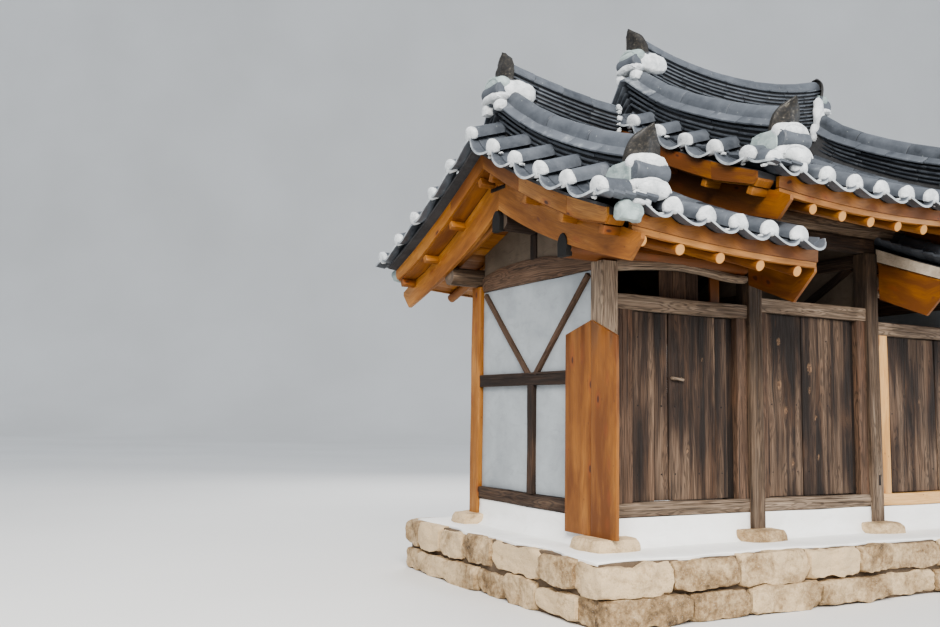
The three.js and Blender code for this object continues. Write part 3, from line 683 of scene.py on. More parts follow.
# Dark brown plaster for the gable peaks and the inner frames' panels: its darkness is painted shade, the
# shadow under the roofs.
PAINTED_SHADE_PLASTER = plaster("painted_shade_plaster", (0.085, 0.064, 0.045), (0.155, 0.12, 0.088), (0.05, 0.038, 0.027), 0.4, 0.004)
STONE = granite("granite", (0.062, 0.038, 0.019), (0.30, 0.20, 0.106), (0.63, 0.475, 0.295))
EARTH = plain("earth_joint", (0.13, 0.092, 0.06), 0.95, 0.004, 45)
CLAY = plain("roof_clay", (0.045, 0.044, 0.046), 0.95, 0.004, 30)
BLACK = plain("black_paint", (0.007, 0.006, 0.005), 0.8, 0.0008, 80)
IRON = plain("forged_iron", (0.030, 0.026, 0.024), 0.55, 0.0008, 90, 0.75)
# Near-black bedding inside the ridges: where it shows in the gaps under and between the ridge tiles, its
# darkness is painted shade.
BEDDING = plain("ridge_bedding", (0.05, 0.05, 0.052), 0.95, 0.004, 40)

# Panels and blocks


def outline_of(points, step):
    """A closed outline through corner points, counterclockwise, with its outward directions."""
    points = np.asarray(points, dtype=float)
    out, outward = [], []
    for a, b in zip(points, np.roll(points, -1, axis=0)):
        edge = b - a
        length = np.linalg.norm(edge)
        parts = max(1, round(length / step))
        out += [a + edge * i / parts for i in range(parts)]
        outward += [np.array([edge[1], -edge[0]]) / length] * parts
    return np.array(out), unit(np.array(outward) + np.roll(outward, 1, axis=0))


def block(shape, low, high, step, seed, wave=0.003, size=0.5, bend=None):
    """A box whose faces are divided and gently uneven; bend moves its points afterwards."""
    low, high, edge = np.asarray(low, float), np.asarray(high, float), 0.006
    lines = []
    for a, b in zip(low, high):
        inner = np.linspace(a + edge, b - edge, max(2, math.ceil((b - a) / step) + 1))
        lines.append(np.concatenate([[a], inner, [b]]))

    def face(axis, sign):
        u, v = (axis + 1) % 3, (axis + 2) % 3
        a, b = np.meshgrid(lines[u], lines[v], indexing="ij")
        face = np.zeros((*a.shape, 3))
        face[..., axis], face[..., u], face[..., v] = (low if sign < 0 else high)[axis], a, b
        return face

    points, quads = cube_faces(face)
    points, quads = joined(np.round(points * 20000).astype(np.int64), points, quads)
    inward = np.isclose(points, low) * 1.0 - np.isclose(points, high)
    points = points + inward * (0.35 * edge) * ((inward != 0).sum(axis=1) > 1)[:, None]
    push = [noise(points, size, seed + i) + 0.4 * noise(points, size / 4, seed + 7 + i) for i in range(3)]
    points = points + wave * np.stack(push, axis=-1)
    if bend is not None:
        points = bend(points)
    shape.add(points, quads, grain=points + seed * 3.3)


def panel(shape, axis, a0, a1, us, low, high, parts, seed, wave=0.002, slot=0, tone=0.5, knots=(), tilt=0.0):
    """An upright board or panel across X (axis 0) or Y (axis 1), between two height curves.

    knots: (place along, height over the middle, size). tilt: metres the upper edge leans outward.
    """
    t = np.linspace(0, 1, parts + 1)
    bottom, top = low(us), high(us)
    middle = (bottom + top) / 2
    z = bottom[:, None] * (1 - t) + top[:, None] * t
    u = np.broadcast_to(us[:, None], z.shape)
    run = np.concatenate([[0], np.cumsum(np.hypot(np.diff(us), np.diff(middle)))])
    along = np.broadcast_to(run[:, None], z.shape)
    bent, knot = knotted(along, z - middle[:, None], knots)
    points, grain = [], []
    for level in (a0, a1):
        a = np.full(z.shape, float(level)) + tilt * t
        side = np.stack([a, u, z] if axis == 0 else [u, a, z], axis=-1)
        side[..., axis] += wave * noise(side, 0.4, seed)
        points.append(side.reshape(-1, 3))
        grain.append(np.stack([along + seed * GRAIN_SHIFT, bent, a], axis=-1).reshape(-1, 3))
    quads = layer_quads(*z.shape)
    shape.add(np.concatenate(points), quads if axis == 0 else quads[:, ::-1], slot=slot, tone=tone,
              grain=np.concatenate(grain), mark=np.tile(knot.ravel(), 2))


def sheet(shape, xs, ys, low, high, seed, slot=0, wave=0.0):
    """A closed layer over a patch of the plan, between two height surfaces."""
    x, y = np.meshgrid(xs, ys, indexing="ij")
    bottom, top = (np.stack([x, y, level(x, y) + 0 * x], axis=-1).reshape(-1, 3) for level in (low, high))
    top[:, 2] += wave * noise(top, 0.12, seed)
    points = np.concatenate([bottom, top])
    shape.add(points, layer_quads(*x.shape), slot=slot, grain=points[:, [1, 0, 2]] + seed * GRAIN_SHIFT)


# Plan, as in the frame

GATE_X, CORNER_X, WALL_Y = 0.8, 2.45, 1.025
HALF_POST = 0.0825
FLOOR_Z, POST_FOOT, SILL_TOP = 0.5, 0.6, 0.86
PLATFORM_X, PLATFORM_Y = 2.97, 1.65
BOTH = (-1, 1)
SIDES = (("left", -1), ("right", 1))
BETWEEN_POSTS = [(a + HALF_POST, b - HALF_POST)
                 for a, b in ((-CORNER_X, -GATE_X), (-GATE_X, GATE_X), (GATE_X, CORNER_X))]


def mirrored(sign, *places):
    """Places on the right or rear side (sign 1), or the same on the other side, from low to high."""
    return np.sort(sign * np.array(places))


# Stone platform

FRONT_TOP = [-2.97, -2.262, -1.565, -0.795, -0.155, 0.262, 0.93, 1.52, 2.28, 2.97]
FRONT_FOOT = [-2.95, -2.085, -1.48, -0.67, 0.21, 0.86, 1.45, 2.05, 2.97]
SEAM_Z, FACING_TOP, FACING_DEPTH = 0.232, 0.497, 0.32
STONE_SHORT, STONE_LONG = 0.42, 0.8


def seams(seed, reach):
    """Uneven joints along one course of stones."""
    r = rand(seed)
    places = [-reach]
    while reach - places[-1] > STONE_LONG + STONE_SHORT:
        places.append(places[-1] + r.uniform(STONE_SHORT, STONE_LONG))
    middle = (places[-1] + reach) / 2
    return places + ([middle] if reach - places[-1] > STONE_LONG else []) + [reach]


def course(shape, places, z0, z1, seed, side, parts=13):
    """One course of facing stones along one side of the platform."""
    r = rand(seed)
    sign = 1 if side in ("rear", "right") else -1
    for i, (a, b) in enumerate(zip(places[:-1], places[1:])):
        lift, drop = r.uniform(-0.026, 0.004), r.uniform(-0.012, 0.02)
        height = z1 - z0 - 0.012 + lift - drop
        out = r.uniform(-0.03, 0.035)
        length, depth = b - a - 0.02, FACING_DEPTH + out
        middle, z = (a + b) / 2, z0 + 0.004 + drop + height / 2
        if side in ("front", "rear"):
            center = (middle, sign * (PLATFORM_Y - FACING_DEPTH / 2 + out / 2), z)
            size = (length, depth, height)
        else:
            center = (sign * (PLATFORM_X - FACING_DEPTH / 2 + out / 2), middle, z)
            size = (depth, length, height)
        blob(shape, center, size, seed * 31 + i, parts=parts, boxy=0.98, lumps=0.2, fine=0.07, floor=0.0,
             corner=1.53, tone=r.uniform(0.25, 0.95), flat_top=0.488 - z)


stones = Shape()
course(stones, FRONT_TOP, SEAM_Z, FACING_TOP, 3, "front", 17)
course(stones, FRONT_FOOT, 0.0, SEAM_Z, 4, "front", 17)
piece("platform_facing_front", stones, [STONE], slot="stone")
stones = Shape()
for number, side in enumerate(("rear", "left", "right")):
    reach = PLATFORM_X if side == "rear" else PLATFORM_Y - 0.3
    course(stones, seams(11 + number, reach), SEAM_Z, FACING_TOP, 5 + 2 * number, side)
    course(stones, seams(21 + number, reach), 0.0, SEAM_Z, 6 + 2 * number, side)
piece("platform_facing_sides", stones, [STONE], slot="stone")

core = Shape()
block(core, (-PLATFORM_X + 0.05, -PLATFORM_Y + 0.05, 0.0), (PLATFORM_X - 0.05, PLATFORM_Y - 0.05, 0.476),
      0.12, 31, wave=0.012, size=0.3, bend=lambda p: np.maximum(p, [-9, -9, 0.0]))
piece("platform_core", core, [EARTH], nodes=("stone_platform",), slot="stone")

stones = Shape()
places = [(x, y) for x in (-CORNER_X, -GATE_X, GATE_X, CORNER_X) for y in (-WALL_Y, WALL_Y)]
for number, (x, y) in enumerate(places):
    r = rand(50 + number)
    size = (r.uniform(0.41, 0.47), r.uniform(0.39, 0.43), 0.165)
    shift = (-0.03, -0.05) if y < 0 else (r.uniform(-0.03, 0.03), 0.02)
    blob(stones, (x + shift[0], y + shift[1], POST_FOOT - 0.078), size, 60 + number, parts=13, boxy=0.5,
         lumps=0.13, fine=0.05, turn=r.uniform(-0.25, 0.25), tone=r.uniform(0.4, 0.7), flat_top=0.078)
piece("base_stones", stones, [STONE], slot="stone")

# Lime floor and foot walls

LIME_X, LIME_Y, LIME_OVER = 2.82, 1.5, 0.075


def worn_edge(points):
    """Pulls the slab's rim to an uneven line and thins it there."""
    out = points.copy()
    flat = points * [1, 1, 0]
    for axis, reach in ((1, LIME_Y), (0, LIME_X)):
        share = smooth(np.abs(points[:, axis]), reach - 0.12, reach + 0.01)
        wander = 0.055 * noise(flat, 0.42, 77 + axis) + 0.015 * noise(flat, 0.1, 79)
        out[:, axis] += np.sign(points[:, axis]) * share * (LIME_OVER + wander)
        out[:, 2] -= share * 0.006
    return out


FOOT = outline_of([(-0.135, 0.0), (0.135, 0.0), (0.085, 0.03), (0.058, 0.09), (0.052, 0.2395),
                   (-0.052, 0.2395), (-0.058, 0.09), (-0.085, 0.03)], 0.05)
lime = Shape()
block(lime, (-LIME_X, -LIME_Y, 0.47), (LIME_X, LIME_Y, 0.503), 0.06, 41, wave=0.0035, size=0.35,
      bend=worn_edge)
walls = [((x0 - 0.01, y), (x1 + 0.01, y), 80 + 3 * row + number) for row, y in enumerate((-WALL_Y, WALL_Y))
         for number, (x0, x1) in enumerate(BETWEEN_POSTS) if y < 0 or number != 1]
walls += [((x, -WALL_Y + 0.08), (x, WALL_Y - 0.08), 90 + i) for i, x in enumerate((-CORNER_X, CORNER_X))]
for start, end, seed in walls:
    sweep(lime, [(*start, FLOOR_Z - 0.002), (*end, FLOOR_Z - 0.002)], (0, 0, 1), FOOT, seed, ring=0.06,
          wear=0.006, fine=0.001)
piece("lime_floor_and_foot_walls", lime, [LIME], nodes=("lime_floor",), slot="lime")

# Posts

LOW_POST_TOP, GATE_POST_TOP = 2.858, 3.229
POST_SIZE = 2 * HALF_POST
UP, FRONTWARD = (0, 0, 1), (0, -1, 0)


def weathering(low, high, amount=0.22, dark=0.12):
    """Timber bleached towards its foot and darkened towards its top."""
    def tone(points):
        z = points[..., 2]
        return amount * (1 - smooth(z, low, high)) - dark * smooth(z, high, high + 0.7)
    return tone


def along_x(shape, x0, x1, y, z, *rest, **more):
    """A beam along X; rest is its width, height and seed."""
    beam(shape, (x0, y, z), (x1, y, z), UP, *rest, **more)


def along_y(shape, x, y0, y1, z, *rest, **more):
    beam(shape, (x, y0, z), (x, y1, z), UP, *rest, **more)


def upright(shape, x, y, z0, z1, facing, *rest, **more):
    beam(shape, (x, y, z0), (x, y, z1), facing, *rest, **more)


def mortise(shape, x, y, z0, z1, seed):
    """An old mortise near a post's foot, closed with two small worn blocks."""
    for i, (low, high) in enumerate(((0, 0.55), (0.58, 1))):
        ends = [z0 + low * (z1 - z0), z0 + high * (z1 - z0) if i == 0 else z1]
        upright(shape, x, y + 0.03, *ends, FRONTWARD, 0.036, 0.064 - 0.006 * i, seed + i, radius=0.004,
                step=0.015, ring=0.03, tone=0.2 + 0.15 * i, slot=1)


fade = weathering(0.7, 2.4)
POSTS = (  # place, side of it, tone, cracks, weathering, mortise: shift, foot and head
    ("corner", -1, -1, 0.84, 7, weathering(0.7, 2.9, 0.1, 0.0), None),
    ("corner", -1, 1, 0.5, 6, fade, None),
    ("corner", 1, -1, 0.6, 2, None, None),
    ("corner", 1, 1, 0.55, 2, None, None),
    ("gate", -1, -1, 0.27, 8, fade, (0.03, 0.925, 1.06)),
    ("gate", -1, 1, 0.36, 8, fade, (0.02, 0.94, 1.13)),
    ("gate", 1, -1, 0.45, 5, fade, None),
    ("gate", 1, 1, 0.45, 5, fade, None),
)
for seed, (kind, row, sign, tone, cracks, bleach, patch) in enumerate(POSTS, 101):
    name = f"{kind}_post_{'front' if row < 0 else 'rear'}_{'left' if sign < 0 else 'right'}"
    x, top = (CORNER_X, LOW_POST_TOP) if kind == "corner" else (GATE_X, GATE_POST_TOP)
    x, y, new = sign * x, row * WALL_Y, bleach is None
    shape = Shape()
    upright(shape, x, y, POST_FOOT - 0.01, top, FRONTWARD, POST_SIZE, POST_SIZE, seed, radius=0.012,
            step=0.018, ring=0.05, wear=0.0045, fine=0.0016, bow=0.004, tone=tone,
            cracks=random_cracks(seed, cracks, 0.016), bleach=bleach)
    if patch:
        mortise(shape, x + patch[0], y - HALF_POST, patch[1], patch[2], seed + 3)
    solid(name, shape, [PINE if new else WOOD_GREY, WOOD_DARK], "new_timber" if new else "old_timber")

# Door frames

# opening: between the jambs; top: of the lintel; recess: beside the right jamb; joints: of each leaf's planks
BAYS = {
    "left": dict(opening=(-2.19, -1.10), top=2.596, recess=0.085, joints=([-1.935], [-1.245]), seed=200),
    "middle": dict(opening=(-0.63, 0.53), top=2.675, recess=0.06, joints=([], [0.235]), seed=230),
    "right": dict(opening=(1.04, 2.19), top=2.550, recess=0.06, joints=([1.33], []), seed=260),
}
SILL_Z, FRAME_Y, FRAME_DEPTH, JAMB_Y = 0.80, -1.025, 0.12, -1.03
LINTEL_HEIGHT = 0.13
LEAF_FRONT, LEAF_BACK, LEAF_FOOT = -1.045, -1.0045, 0.866
PLANK_THICK = 0.024
HINGE_Y = -1.005


def dried(points):
    """Sills and lintels dry out in pale and dark patches."""
    return 0.12 * noise(points, (0.5, 0.2, 0.05), 5)


def rail(shape, x0, x1, z, height, seed, **looks):
    """A sill or a lintel between two posts."""
    along_x(shape, x0 + 0.0005, x1 - 0.0005, FRAME_Y, z, FRAME_DEPTH, height, seed, bow=0.003, bleach=dried,
            **looks)


for (side, bay), (x0, x1) in zip(BAYS.items(), BETWEEN_POSTS):
    seed, top, new = bay["seed"], bay["top"], side == "right"
    a, b = bay["opening"]
    shape = Shape()
    rail(shape, x0, x1, SILL_Z, 0.12, seed, radius=0.014, step=0.014, ring=0.05, wear=0.005, fine=0.0018,
         slot=1 if new else 0, tone=0.6 if new else 0.66,
         cracks=() if new else random_cracks(seed + 1, 8, 0.016))
    rail(shape, x0, x1, top - LINTEL_HEIGHT / 2, LINTEL_HEIGHT, seed + 2, radius=0.012, step=0.016, ring=0.06,
         wear=0.004, fine=0.0015, tone=0.63, cracks=random_cracks(seed + 3, 6))
    low, high = SILL_TOP - 0.002, top - LINTEL_HEIGHT + 0.002
    gap = bay["recess"]
    for number, (e0, e1) in enumerate(((x0, a), (b + gap, x1))):
        pale = new and number == 0
        upright(shape, (e0 + e1) / 2, JAMB_Y, low, high, FRONTWARD, e1 - e0 - 0.001, 0.088, seed + 5 + number,
                radius=0.008, step=0.016, ring=0.06, wear=0.003, slot=1 if pale else 2,
                tone=0.6 if pale else 0.5, cracks=() if pale else random_cracks(seed + 9 + number, 4, 0.010),
                bleach=None if pale else fade)
    upright(shape, b + gap / 2, -1.002, low, high, FRONTWARD, gap, 0.03, seed + 12, radius=0.003, step=0.02,
            ring=0.12, tone=0.05, slot=3)
    solid(f"door_frame_{side}", shape, [WOOD_GREY, PINE_PALE, WOOD_RED, WOOD_DARK])

# Door leaves

LEAVES = {  # left edge, right edge, hinge, knots of the broad planks
    "door_left_a": (-2.184, -1.79, -2.166, [(0.28, 0.03, 0.046), (1.35, 0.05, 0.026)]),
    "door_left_b": (-1.78, -1.106, -1.124, [(0.42, 0.06, 0.020), (1.22, -0.12, 0.016)]),
    "door_middle_a": (-0.624, -0.165, -0.606,
                      [(1.02, 0.06, 0.046), (0.78, -0.02, 0.034), (1.42, 0.06, 0.036), (0.3, -0.1, 0.028)]),
    "door_middle_b": (-0.155, 0.524, 0.506,
                      [(1.18, 0.09, 0.052), (0.98, 0.10, 0.034), (0.72, 0.02, 0.026), (0.35, 0.0, 0.028)]),
    "door_right_a": (1.046, 1.80, 1.064, [(0.9, 0.02, 0.022)]),
    "door_right_b": (1.81, 2.184, 2.166, [(0.6, 0.0, 0.018)]),
}
BROAD_PLANK = 0.3


def door_plank_tone(seed):
    """Planks: a little darker overall, paler towards the foot, in broad patches and in streaks, and on a worn
    patch high on the gate's right leaf.
    """
    def tone(points):
        x, z, flat = points[..., 0], points[..., 2], points * [1, 0, 1]
        foot = 0.20 * (1 - smooth(z, 0.9, 1.7))
        patches = 0.32 * noise(flat, (0.16, 1, 0.6), seed)
        streaks = 0.30 * noise(flat, (0.03, 1, 1.2), seed + 2)
        worn = 0.26 * np.exp(-((x - 0.17) / 0.13) ** 2) * smooth(z, 1.05, 1.6)
        return foot + patches + streaks + worn - 0.12
    return tone


def wooden_pull(shape, seed):
    """The small wooden handle, a little out of level, on its two feet."""
    y = LEAF_FRONT - 0.016
    beam(shape, (-1.760, y, 1.905), (-1.628, y, 1.893), UP, 0.034, 0.026, seed, radius=0.009, step=0.009,
         ring=0.02, tone=0.85, slot=2)
    for x in (-1.735, -1.652):
        upright(shape, x, LEAF_FRONT - 0.012, 1.885, 1.913, FRONTWARD, 0.016, 0.03, seed + 1, radius=0.004,
                step=0.008, ring=0.02, wear=0.001, slot=2)


for name, (x0, x1, hinge_x, knots) in LEAVES.items():
    bay, second = BAYS[name.split("_")[1]], name.endswith("b")
    seed = bay["seed"] + (21 if second else 15)
    high = bay["top"] - LINTEL_HEIGHT - 0.006
    edges = [x0, *bay["joints"][second], x1]
    shape = Shape()
    for i, (p0, p1) in enumerate(zip(edges[:-1], edges[1:])):
        x, y = (p0 + p1) / 2, LEAF_FRONT + PLANK_THICK / 2 + 0.001 + 0.0012 * (i % 2)
        broad = p1 - p0 > BROAD_PLANK
        upright(shape, x, y, LEAF_FOOT + 0.002 * i, high - 0.003 * i, FRONTWARD, p1 - p0 - 0.004, PLANK_THICK,
                seed + i, radius=0.005, step=0.018, ring=0.03, wear=0.0016, fine=0.0010,
                cracks=[(*crack[:3], 0.006) for crack in random_cracks(seed + i, 3 if broad else 1)],
                knots=knots if broad else (), bleach=door_plank_tone(seed + i))
    back = (LEAF_FRONT + PLANK_THICK + LEAF_BACK) / 2 + 0.0005
    for i, z in enumerate((LEAF_FOOT + 0.22, (LEAF_FOOT + high) / 2, high - 0.22)):
        along_x(shape, x0 + 0.004, x1 - 0.004, back, z, LEAF_BACK - LEAF_FRONT - PLANK_THICK, 0.085,
                seed + 6 + i, radius=0.004, step=0.02, ring=0.06, wear=0.0012, tone=0.4)
        for x in np.linspace(x0 + 0.07, x1 - 0.07, max(2, round((x1 - x0) / 0.22))):
            blob(shape, (x, LEAF_FRONT + 0.001, z), (0.013, 0.006, 0.013), seed + i, parts=4, boxy=0.2,
                 lumps=0.05, slot=1)
    for over, radius, number, looks in ((0, 0.0175, 30, dict(ring=0.12, wear=0.0003, fine=0.0002, tone=0.4)),
                                        (0.025, 0.0115, 31, dict(ring=0.2, wear=0.0, fine=0.0, tone=0.35))):
        pole(shape, [(hinge_x, HINGE_Y, LEAF_FOOT - over), (hinge_x, HINGE_Y, high + over)], radius,
             seed + number, sides=12, up=FRONTWARD, **looks)
    if name == "door_left_b":
        wooden_pull(shape, seed + 33)
    solid(name, shape, [WOOD_DARK, IRON, WOOD_GREY], body=name)

# Heights of the roof, as in the frame

PURLIN_Z, PURLIN_R, RIDGE_PURLIN_R = 2.95, 0.095, 0.09
RAISE = 0.52
RAFTER_R, RAFTER_SLOPE, RAFTER_TIP = 0.047, 0.37, 1.875
RAFTER_SEAT = 3.0988
DECK_UNDER, DECK_TOP = 0.042, 0.075
RIDGE_PURLIN_Z = RAFTER_SEAT + RAFTER_SLOPE * WALL_Y - 0.1438
KING_TOP = RIDGE_PURLIN_Z - 0.087


class Roof:
    """One of the roofs: verge, edge board, bargeboard, inner end and lift of its corners, in metres."""

    def __init__(self, verge, rim, board, inner, lift, rise, raised):
        self.verge, self.rim, self.board, self.inner = verge, rim, board, inner
        self.lift, self.rise, self.raised = lift, rise, raised

    def corner_lift(self, x):
        share = (np.abs(x) - self.inner) / (self.verge - self.inner)
        return self.lift * np.maximum(0.0, share) ** 2

    def bed(self, x, y):
        out = np.abs(y)
        height = 3.885 - 0.58 * out + 0.0629 * out ** 2 + self.rise + self.corner_lift(x)
        if self.raised:
            return height
        return np.where(np.abs(x) < 1.358, np.minimum(height, 3.75), height)

    def rafter(self, x, y):
        out = np.abs(y)
        eave = np.maximum(0.0, (out - WALL_Y) / (RAFTER_TIP - WALL_Y))
        return RAFTER_SEAT + RAFTER_SLOPE * (WALL_Y - out) + self.corner_lift(x) * eave + self.rise


LOW = Roof(3.24, 3.055, 2.88, 0.895, 0.148, 0.0, False)
HIGH = Roof(1.59, 1.545, 1.35, 0.0, 0.095, RAISE, True)

# Gable walls

INNER_Y = WALL_Y - HALF_POST
PEAK_Y = 0.925
RAIL_Z = 1.90
TIE_FOOT = 2.80
TIE_TOP = ([-0.942, -0.925, -0.6, -0.2, 0.2, 0.6, 0.925, 0.942],
           [2.895, 2.905, 2.96, 3.018, 3.03, 3.012, 2.96, 2.88])


def tie_top(y):
    return np.interp(y, *TIE_TOP)


def under_boards(y):
    return RAFTER_SEAT + RAFTER_SLOPE * (WALL_Y - np.abs(y)) + DECK_UNDER


def level(z):
    return lambda *place: z + 0 * place[0]


def facing(shape, sign, start, end, width, seed, thick=0.045, tone=0.34, **more):
    """A timber that shows on the outer face of a gable wall, from one (y, z) to another."""
    beam(shape, (sign * 2.5, *start), (sign * 2.5, *end), (sign, 0, 0), width, thick, seed, radius=0.006,
         step=0.014, ring=0.05, wear=0.003, tone=tone, **more)


for side, sign in SIDES:
    seed = 300 if sign < 0 else 340
    wall = Shape()
    x0, x1 = mirrored(sign, 2.415, 2.483)
    block(wall, (x0, -INNER_Y, SILL_TOP), (x1, INNER_Y, TIE_FOOT), 0.09, seed, size=0.4)
    solid(f"gable_wall_{side}", wall, [WALL], "plaster")

    timbers = Shape()
    along_y(timbers, sign * 2.455, -INNER_Y, INNER_Y, SILL_Z, 0.125, 0.118, seed + 1, radius=0.012, step=0.02,
            cracks=random_cracks(seed + 1, 5))
    facing(timbers, sign, (0, 0.858), (0, 1.845), 0.098, seed + 2, cracks=random_cracks(seed + 2, 3, 0.006))
    facing(timbers, sign, (-INNER_Y, RAIL_Z), (INNER_Y, RAIL_Z), 0.118, seed + 3,
           cracks=random_cracks(seed + 3, 3, 0.006))
    for y, width, number in ((-1, 0.050, 4), (1, 0.048, 5)):
        facing(timbers, sign, (y * 0.055, 1.935), (y * 0.872, 2.765), width, seed + number, thick=0.038,
               bow=0.006, tone=0.62, slot=1)
    solid(f"gable_frame_{side}", timbers, [WOOD_DARK, WOOD_RED])

    tie = Shape()
    ys = np.linspace(-INNER_Y, INNER_Y, 30)
    middle = TIE_FOOT + (tie_top(ys) - TIE_FOOT) / 2
    sweep(tie, np.stack([np.full(30, sign * CORNER_X), ys, middle], -1), UP,
          round_rect(0.11, 0.2, 0.016, 0.018), seed + 6, ring=0.05, wear=0.004, fine=0.0014, tone=0.72,
          cracks=random_cracks(seed + 6, 6, 0.010),
          scale=(level(1), lambda t: (tie_top(-INNER_Y + 2 * INNER_Y * t) - TIE_FOOT) / 0.2))
    upright(tie, sign * CORNER_X, 0, 3.0, KING_TOP, (sign, 0, 0), 0.108, 0.108, seed + 7, radius=0.012,
            step=0.02, tone=0.36, slot=1)
    solid(f"tie_beam_{side}", tie, [WOOD_RED, WOOD_DARK])

    # The peak's panels take the dark plaster, painted shade under the roof.
    peak = Shape()
    for y0, y1 in ((-PEAK_Y, -0.056), (0.056, PEAK_Y)):
        panel(peak, 0, *mirrored(sign, 2.49, 2.43), np.linspace(y0, y1, 16), lambda y: tie_top(y) - 0.004,
              under_boards, 8, seed + 8)
    solid(f"gable_peak_{side}", peak, [PAINTED_SHADE_PLASTER], "plaster")

# Rear walls and the frames between the bays

for side, sign in SIDES:
    seed = 380 if sign < 0 else 400
    x0, x1 = BETWEEN_POSTS[0 if sign < 0 else 2]
    wall = Shape()
    block(wall, (x0, 0.992, SILL_TOP - 0.01), (x1, 1.058, 2.818), 0.1, seed, size=0.4)
    plain_old = dict(radius=0.01, step=0.02, tone=0.42, slot=1)
    for z, high, deep, number in ((SILL_Z, 0.12, 0.12, 1), (RAIL_Z, 0.12, 0.11, 2), (2.531, 0.13, 0.11, 3)):
        along_x(wall, x0, x1, WALL_Y, z, deep, high, seed + number, wear=0.003,
                cracks=random_cracks(seed + number, 5), **plain_old)
    upright(wall, (x0 + x1) / 2, WALL_Y, 0.86, 1.84, (0, 1, 0), 0.1, 0.1, seed + 4,
            cracks=random_cracks(seed + 4, 4), **plain_old)
    solid(f"rear_wall_{side}", wall, [WALL, WOOD_DARK], "plaster")

    seed += 10
    x = sign * GATE_X
    inner = Shape()
    along_y(inner, x, -INNER_Y, INNER_Y, 2.66, 0.11, 0.08, seed, radius=0.01, tone=0.4)
    along_y(inner, x, -INNER_Y, INNER_Y, 3.16, 0.11, 0.14, seed + 1, radius=0.014, bow=0.006,
            cracks=random_cracks(seed + 1, 4))
    for y in BOTH:
        beam(inner, (x, y * 0.11, 2.68), (x, y * 0.88, 3.11), (1, 0, 0), 0.09, 0.09, seed + 3 + y,
             radius=0.008, tone=0.3, cracks=random_cracks(seed + 3 + y, 3))
    upright(inner, x, 0, 3.225, KING_TOP + RAISE, (1, 0, 0), 0.11, 0.11, seed + 5, radius=0.01, tone=0.35)
    # The panels take the dark plaster, painted shade inside the gate bay.
    for y0, y1, head in ((-PEAK_Y, -0.05, lambda y: under_boards(y) + RAISE), (-0.05, 0.05, level(3.1)),
                         (0.05, PEAK_Y, lambda y: under_boards(y) + RAISE)):
        panel(inner, 0, x - 0.03, x + 0.03, np.linspace(y0, y1, 12), level(2.62), head, 8, seed + 6, slot=1)
    solid(f"inner_frame_{side}", inner, [WOOD_DARK, PAINTED_SHADE_PLASTER])

# Purlins

LOW_END, HIGH_END = 2.8445, 1.3145


def purlin(name, x0, x1, y, z, radius, seed, material, tone, plate=None, slot="old_timber"):
    """A round timber along X, and the plate under it where it has one."""
    shape = Shape()
    pole(shape, [(x, y, z) for x in np.linspace(x0, x1, 20)], radius, seed, sides=24, ring=0.08, wear=0.006,
         fine=0.0015, tone=tone, end_slot=1, cracks=random_cracks(seed, 4))
    if plate is not None:
        along_x(shape, -0.882, 0.882, y, 3.305, 0.11, 0.15, plate, radius=0.014, step=0.02, wear=0.004,
                tone=0.45, slot=2, cracks=random_cracks(440, 6))
    solid(name, shape, [material, END_OLD, WOOD_DARK, BLACK], slot)


CROOKED_START, CROOKED_END = CORNER_X - HALF_POST - 0.001, GATE_X + HALF_POST + 0.001


def crooked_beam(sign):
    """The old beam that sags over the lintel of a side bay."""
    shape, share = Shape(), np.linspace(0, 1, 24)
    z = 2.818 + 0.062 * np.sin(math.pi * np.clip(0.12 + 0.95 * share, 0, 1)) ** 1.3 + 0.012 * share
    xs = sign * np.linspace(CROOKED_START, CROOKED_END, 24)
    sweep(shape, np.stack([xs, np.full(24, -WALL_Y - 0.024), z], -1), UP,
          round_rect(0.10, 0.10, 0.036, 0.014), 445 + sign, ring=0.04, wear=0.007, fine=0.002, tone=0.86,
          cracks=random_cracks(446 + sign, 6), scale=(level(1), lambda t: 1.04 - 0.38 * t))
    return shape


for side, sign in SIDES:
    low, high = mirrored(sign, LOW_END, GATE_X + HALF_POST)
    purlin(f"purlin_front_{side}", low, high, -WALL_Y, PURLIN_Z, PURLIN_R, 420 + sign, PINE, 0.25,
           slot="new_timber")
    piece(f"old_beam_front_{side}", crooked_beam(sign), [WOOD_GREY], slot="old_timber")
    purlin(f"purlin_rear_{side}", low, high, WALL_Y, PURLIN_Z, PURLIN_R, 424 + sign, WOOD_GREY, 0.5)
    low, high = mirrored(sign, LOW_END, GATE_X + 0.055)
    purlin(f"ridge_purlin_{side}", low, high, 0, RIDGE_PURLIN_Z, RIDGE_PURLIN_R, 428 + sign, WOOD_DARK, 0.4)

# Boards behind the opening over the left lintel: place, width, tone, and 1 where the wood is reddish.
boards = Shape()
for x, width, tone, slot in ((-1.70, 0.15, 0.5, 1), (-1.545, 0.15, 0.62, 1), (-1.395, 0.14, 0.42, 1),
                             (-1.125, 0.11, 0.3, 0)):
    upright(boards, x, -0.915, 2.575, 2.862, FRONTWARD, width, 0.022, 438 + int(40 * width), radius=0.003,
            step=0.02, tone=tone, slot=slot)
piece("boards_over_left_lintel", boards, [PINE, WOOD_RED], slot="old_timber")

for name, y, z, radius, seed, plate, material, tone in (
        ("gate_purlin_front", -WALL_Y, PURLIN_Z, PURLIN_R, 432, 440, WOOD_GREY, 0.5),
        ("gate_purlin_rear", WALL_Y, PURLIN_Z, PURLIN_R, 434, 441, WOOD_GREY, 0.5),
        ("gate_ridge_purlin", 0, RIDGE_PURLIN_Z, RIDGE_PURLIN_R, 436, None, WOOD_DARK, 0.4)):
    purlin(name, -HIGH_END, HIGH_END, y, z + RAISE, radius, seed, material, tone, plate)

